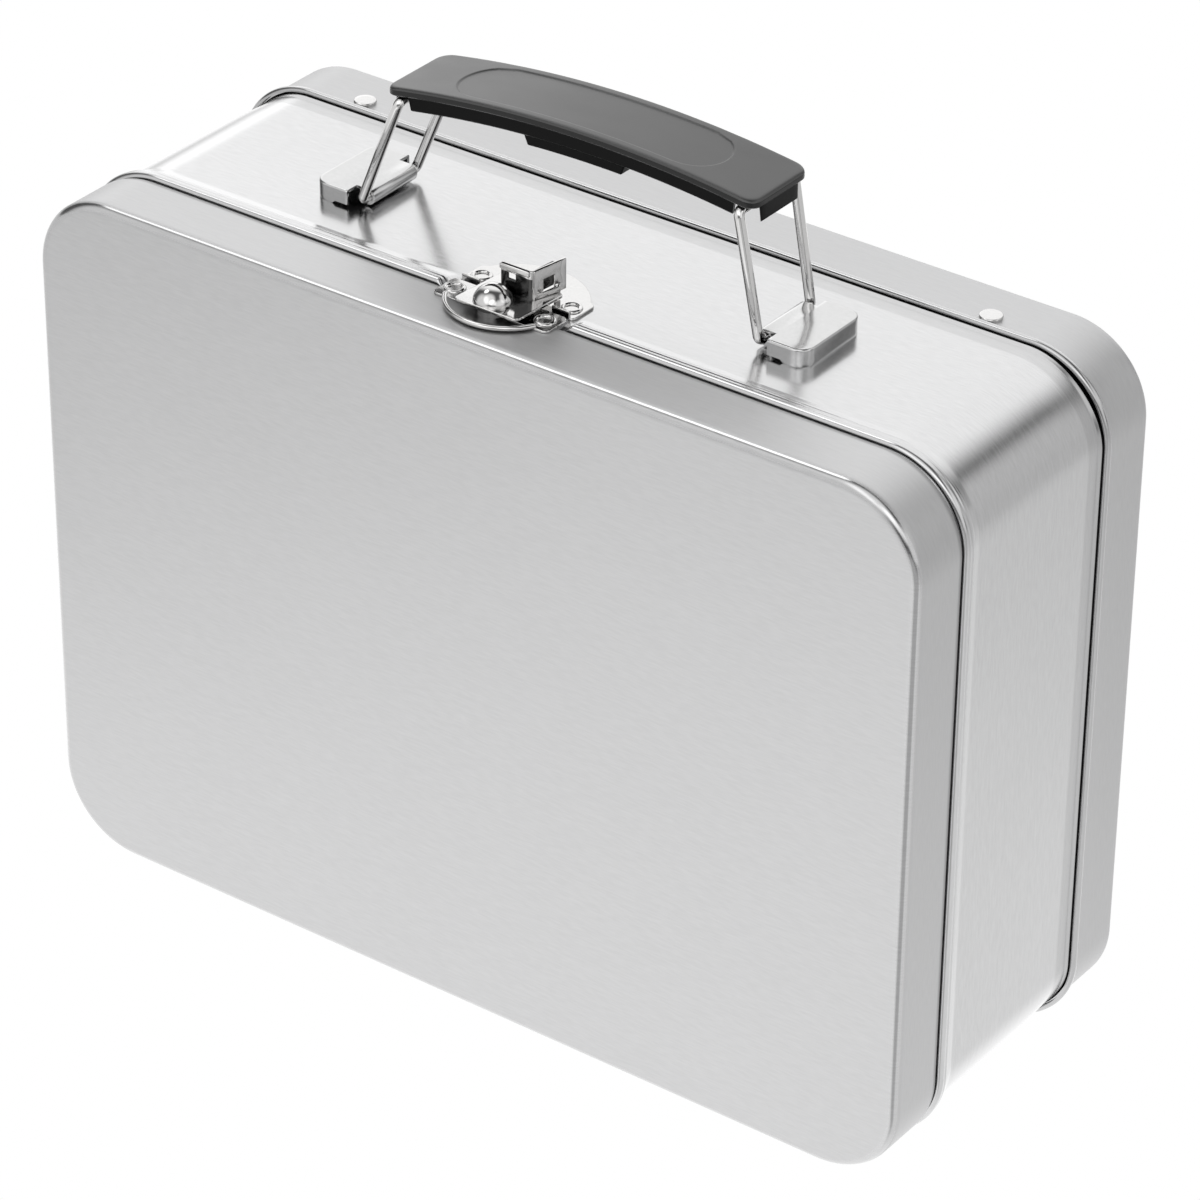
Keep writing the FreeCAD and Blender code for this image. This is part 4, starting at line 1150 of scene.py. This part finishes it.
def dress_handle():
    """Caps, wire bails, grip and insert."""
    for word, side in (("left", -1), ("right", 1)):
        node = f"mount_cap_{word}"
        cap = steel_piece(f"{node}_shell", cap_shell(side), "body", node, CAP_STEEL)
        solidify(cap, CAP_SHEET)
        bevel(cap, 0.1)
        bevel(steel_piece(f"{node}_tabs", cap_tabs(side), "body", node, CAP_STEEL), 0.12)
    for node, base, tip in (("bail_left", LEFT_BASE, LEFT_TIP), ("bail_right", RIGHT_BASE, RIGHT_TIP)):
        steel_piece(f"{node}_wire", bail_wire(base, tip), node, node, WIRE_STEEL)
    # The grip's rim side and all below the rim, the insert too, take black with painted shade.
    make_piece("grip_moulding", grip_shell(), "handle", "grip_shell", "black_plastic", GRIP_TOP, GRIP_PAINTED_SHADE,
               GRIP_RIM_PAINTED_SHADE, finish_of=by_depth)
    insert = make_piece("grip_insert_strip", grip_insert(), "handle", "grip_insert", "black_plastic",
                        GRIP_PAINTED_SHADE)
    bevel(insert, 0.25)


def dress_hinges():
    """The hinges keep their solids and take the plated finish."""
    for word in ("left", "right"):
        for node in ("hinge_leaf_body_", "hinge_leaf_lid_", "hinge_pin_"):
            solid = frame["nodes"][node + word]
            solid.data.materials.clear()
            solid.data.materials.append(PLATED)


# Stage, in metres

FLOOR_Z = -0.045
FLOOR_R = 4.0
FLOOR_SIDES = 96
FLOOR_LEFT = (-0.809, -0.588, 0.0)
FLOOR_NEAR = (0.653, -0.757, 0.0)
FLOOR_ASIDE = (0.757, 0.653, 0.0)
FLOOR_GLOW = 1.29
WEDGE_ASIDE = 0.0509
WEDGE_TIP = 0.0941
WEDGE_SLOPE = 0.454
ROOM_GLOW = 0.12


def floor_disc(name, z):
    """Level disc for the stage, its material's tree and Object coordinates."""
    plan = arc((0, 0), FLOOR_R, 0, 360, FLOOR_SIDES)[:-1]
    mesh = bpy.data.meshes.new(name)
    mesh.from_pydata(level(plan, z).tolist(), [], [list(range(FLOOR_SIDES))])
    disc = add_object(name, mesh)
    material, tree, place = new_material(name)
    mesh.materials.append(material)
    return disc, tree, place


def add_floor():
    """Plain pale floor below the opened lid, clear from below and seen by the camera alone."""
    floor, tree, _ = floor_disc("pale floor", FLOOR_Z)
    floor.visible_diffuse = False
    floor.visible_glossy = False
    floor.visible_shadow = False
    glow = tree.node("Emission", {"Color": (1, 1, 1, 1)})
    clear = tree.node("BsdfTransparent")
    below = tree.node("NewGeometry", out=6)
    both = tree.node("MixShader", {0: below, 1: glow, 2: clear})
    tree.node("OutputMaterial", {"Surface": both})


def add_reflector():
    """Light that the floor throws back at the metal, unseen by the camera.

    It loses a share to both sides and in a wedge before the box's right front edge."""
    reflector, tree, place = floor_disc("floor reflector", FLOOR_Z - 0.0005)
    reflector.visible_camera = False
    left, near, aside = [place.dot(way) for way in (FLOOR_LEFT, FLOOR_NEAR, FLOOR_ASIDE)]
    right = tree.node("SeparateXYZ", {0: place})
    in_wedge = WEDGE_SLOPE * (near - WEDGE_TIP) - abs(aside - WEDGE_ASIDE)
    fades = (
        (left, 0.175, 0.435, 0.36),
        (left, 0.34, 0.5, 0.06),
        (right, 0.1, 0.15, 0.25),
        (-left, 0.185, 0.39, 0.2),
        (-left, 0.375, 0.675, 0.13),
        (in_wedge, 0.0, 0.03, 0.42),
    )
    glow = FLOOR_GLOW
    for way, start, end, loss in fades:
        glow = glow - loss * way.smooth(start, end)
    shine = tree.node("Emission", {"Color": glow})
    tree.node("OutputMaterial", {"Surface": shine})


def add_world():
    """Studio round the box: soft panels as lobes of light over a dim room.

    A panel has its direction, the half angles in degrees where it ends and where it is full, and a gain."""
    world = bpy.data.worlds.new("studio")
    bpy.context.scene.world = world
    tree = empty_tree(world)
    toward = tree.node("TexCoord", out=0)
    panels = (
        ((-0.35, 0.70, 0.62), 52, 25, 1.28),
        ((0.66, 0.74, 0.10), 26, 6, 0.62),
        ((-0.48, -0.80, 0.30), 48, 20, 0.85),
        ((0.94, -0.25, 0.20), 35, 15, 0.9),
        ((0.75, 0.35, 0.56), 28, 10, 0.9),
        ((-0.80, 0.58, 0.08), 27, 8, 0.5),
        ((-0.50, -0.10, 0.86), 13, 5, 2.5),
        ((0.50, -0.72, 0.48), 24, 8, 1.1),
        ((0.10, -0.68, 0.74), 38, 12, 1.0),
    )
    light = ROOM_GLOW
    for way, outer, inner, gain in panels:
        ends = [math.cos(math.radians(angle)) for angle in (outer, inner)]
        light = light + toward.dot(Vector(way).normalized()).smooth(*ends) * gain
    sky = tree.node("Background", {"Color": light})
    tree.node("OutputWorld", {"Surface": sky})


def add_camera():
    """Camera at the photograph's place, with no shift."""
    lens = bpy.data.cameras.new("camera")
    lens.lens = CAMERA_LENS
    lens.clip_start = 0.01
    lens.clip_end = 50
    camera = add_object("camera", lens)
    camera.location = CAMERA_PLACE
    camera.rotation_mode = "QUATERNION"
    roll = Quaternion((0, 0, 1), math.radians(CAMERA_ROLL))
    camera.rotation_quaternion = (CAMERA_AIM - CAMERA_PLACE).to_track_quat("-Z", "Y") @ roll
    bpy.context.scene.camera = camera
    bpy.context.scene.view_settings.view_transform = "Standard"


dress_case()
dress_latch()
dress_handle()
dress_hinges()
add_floor()
add_reflector()
add_world()
add_camera()
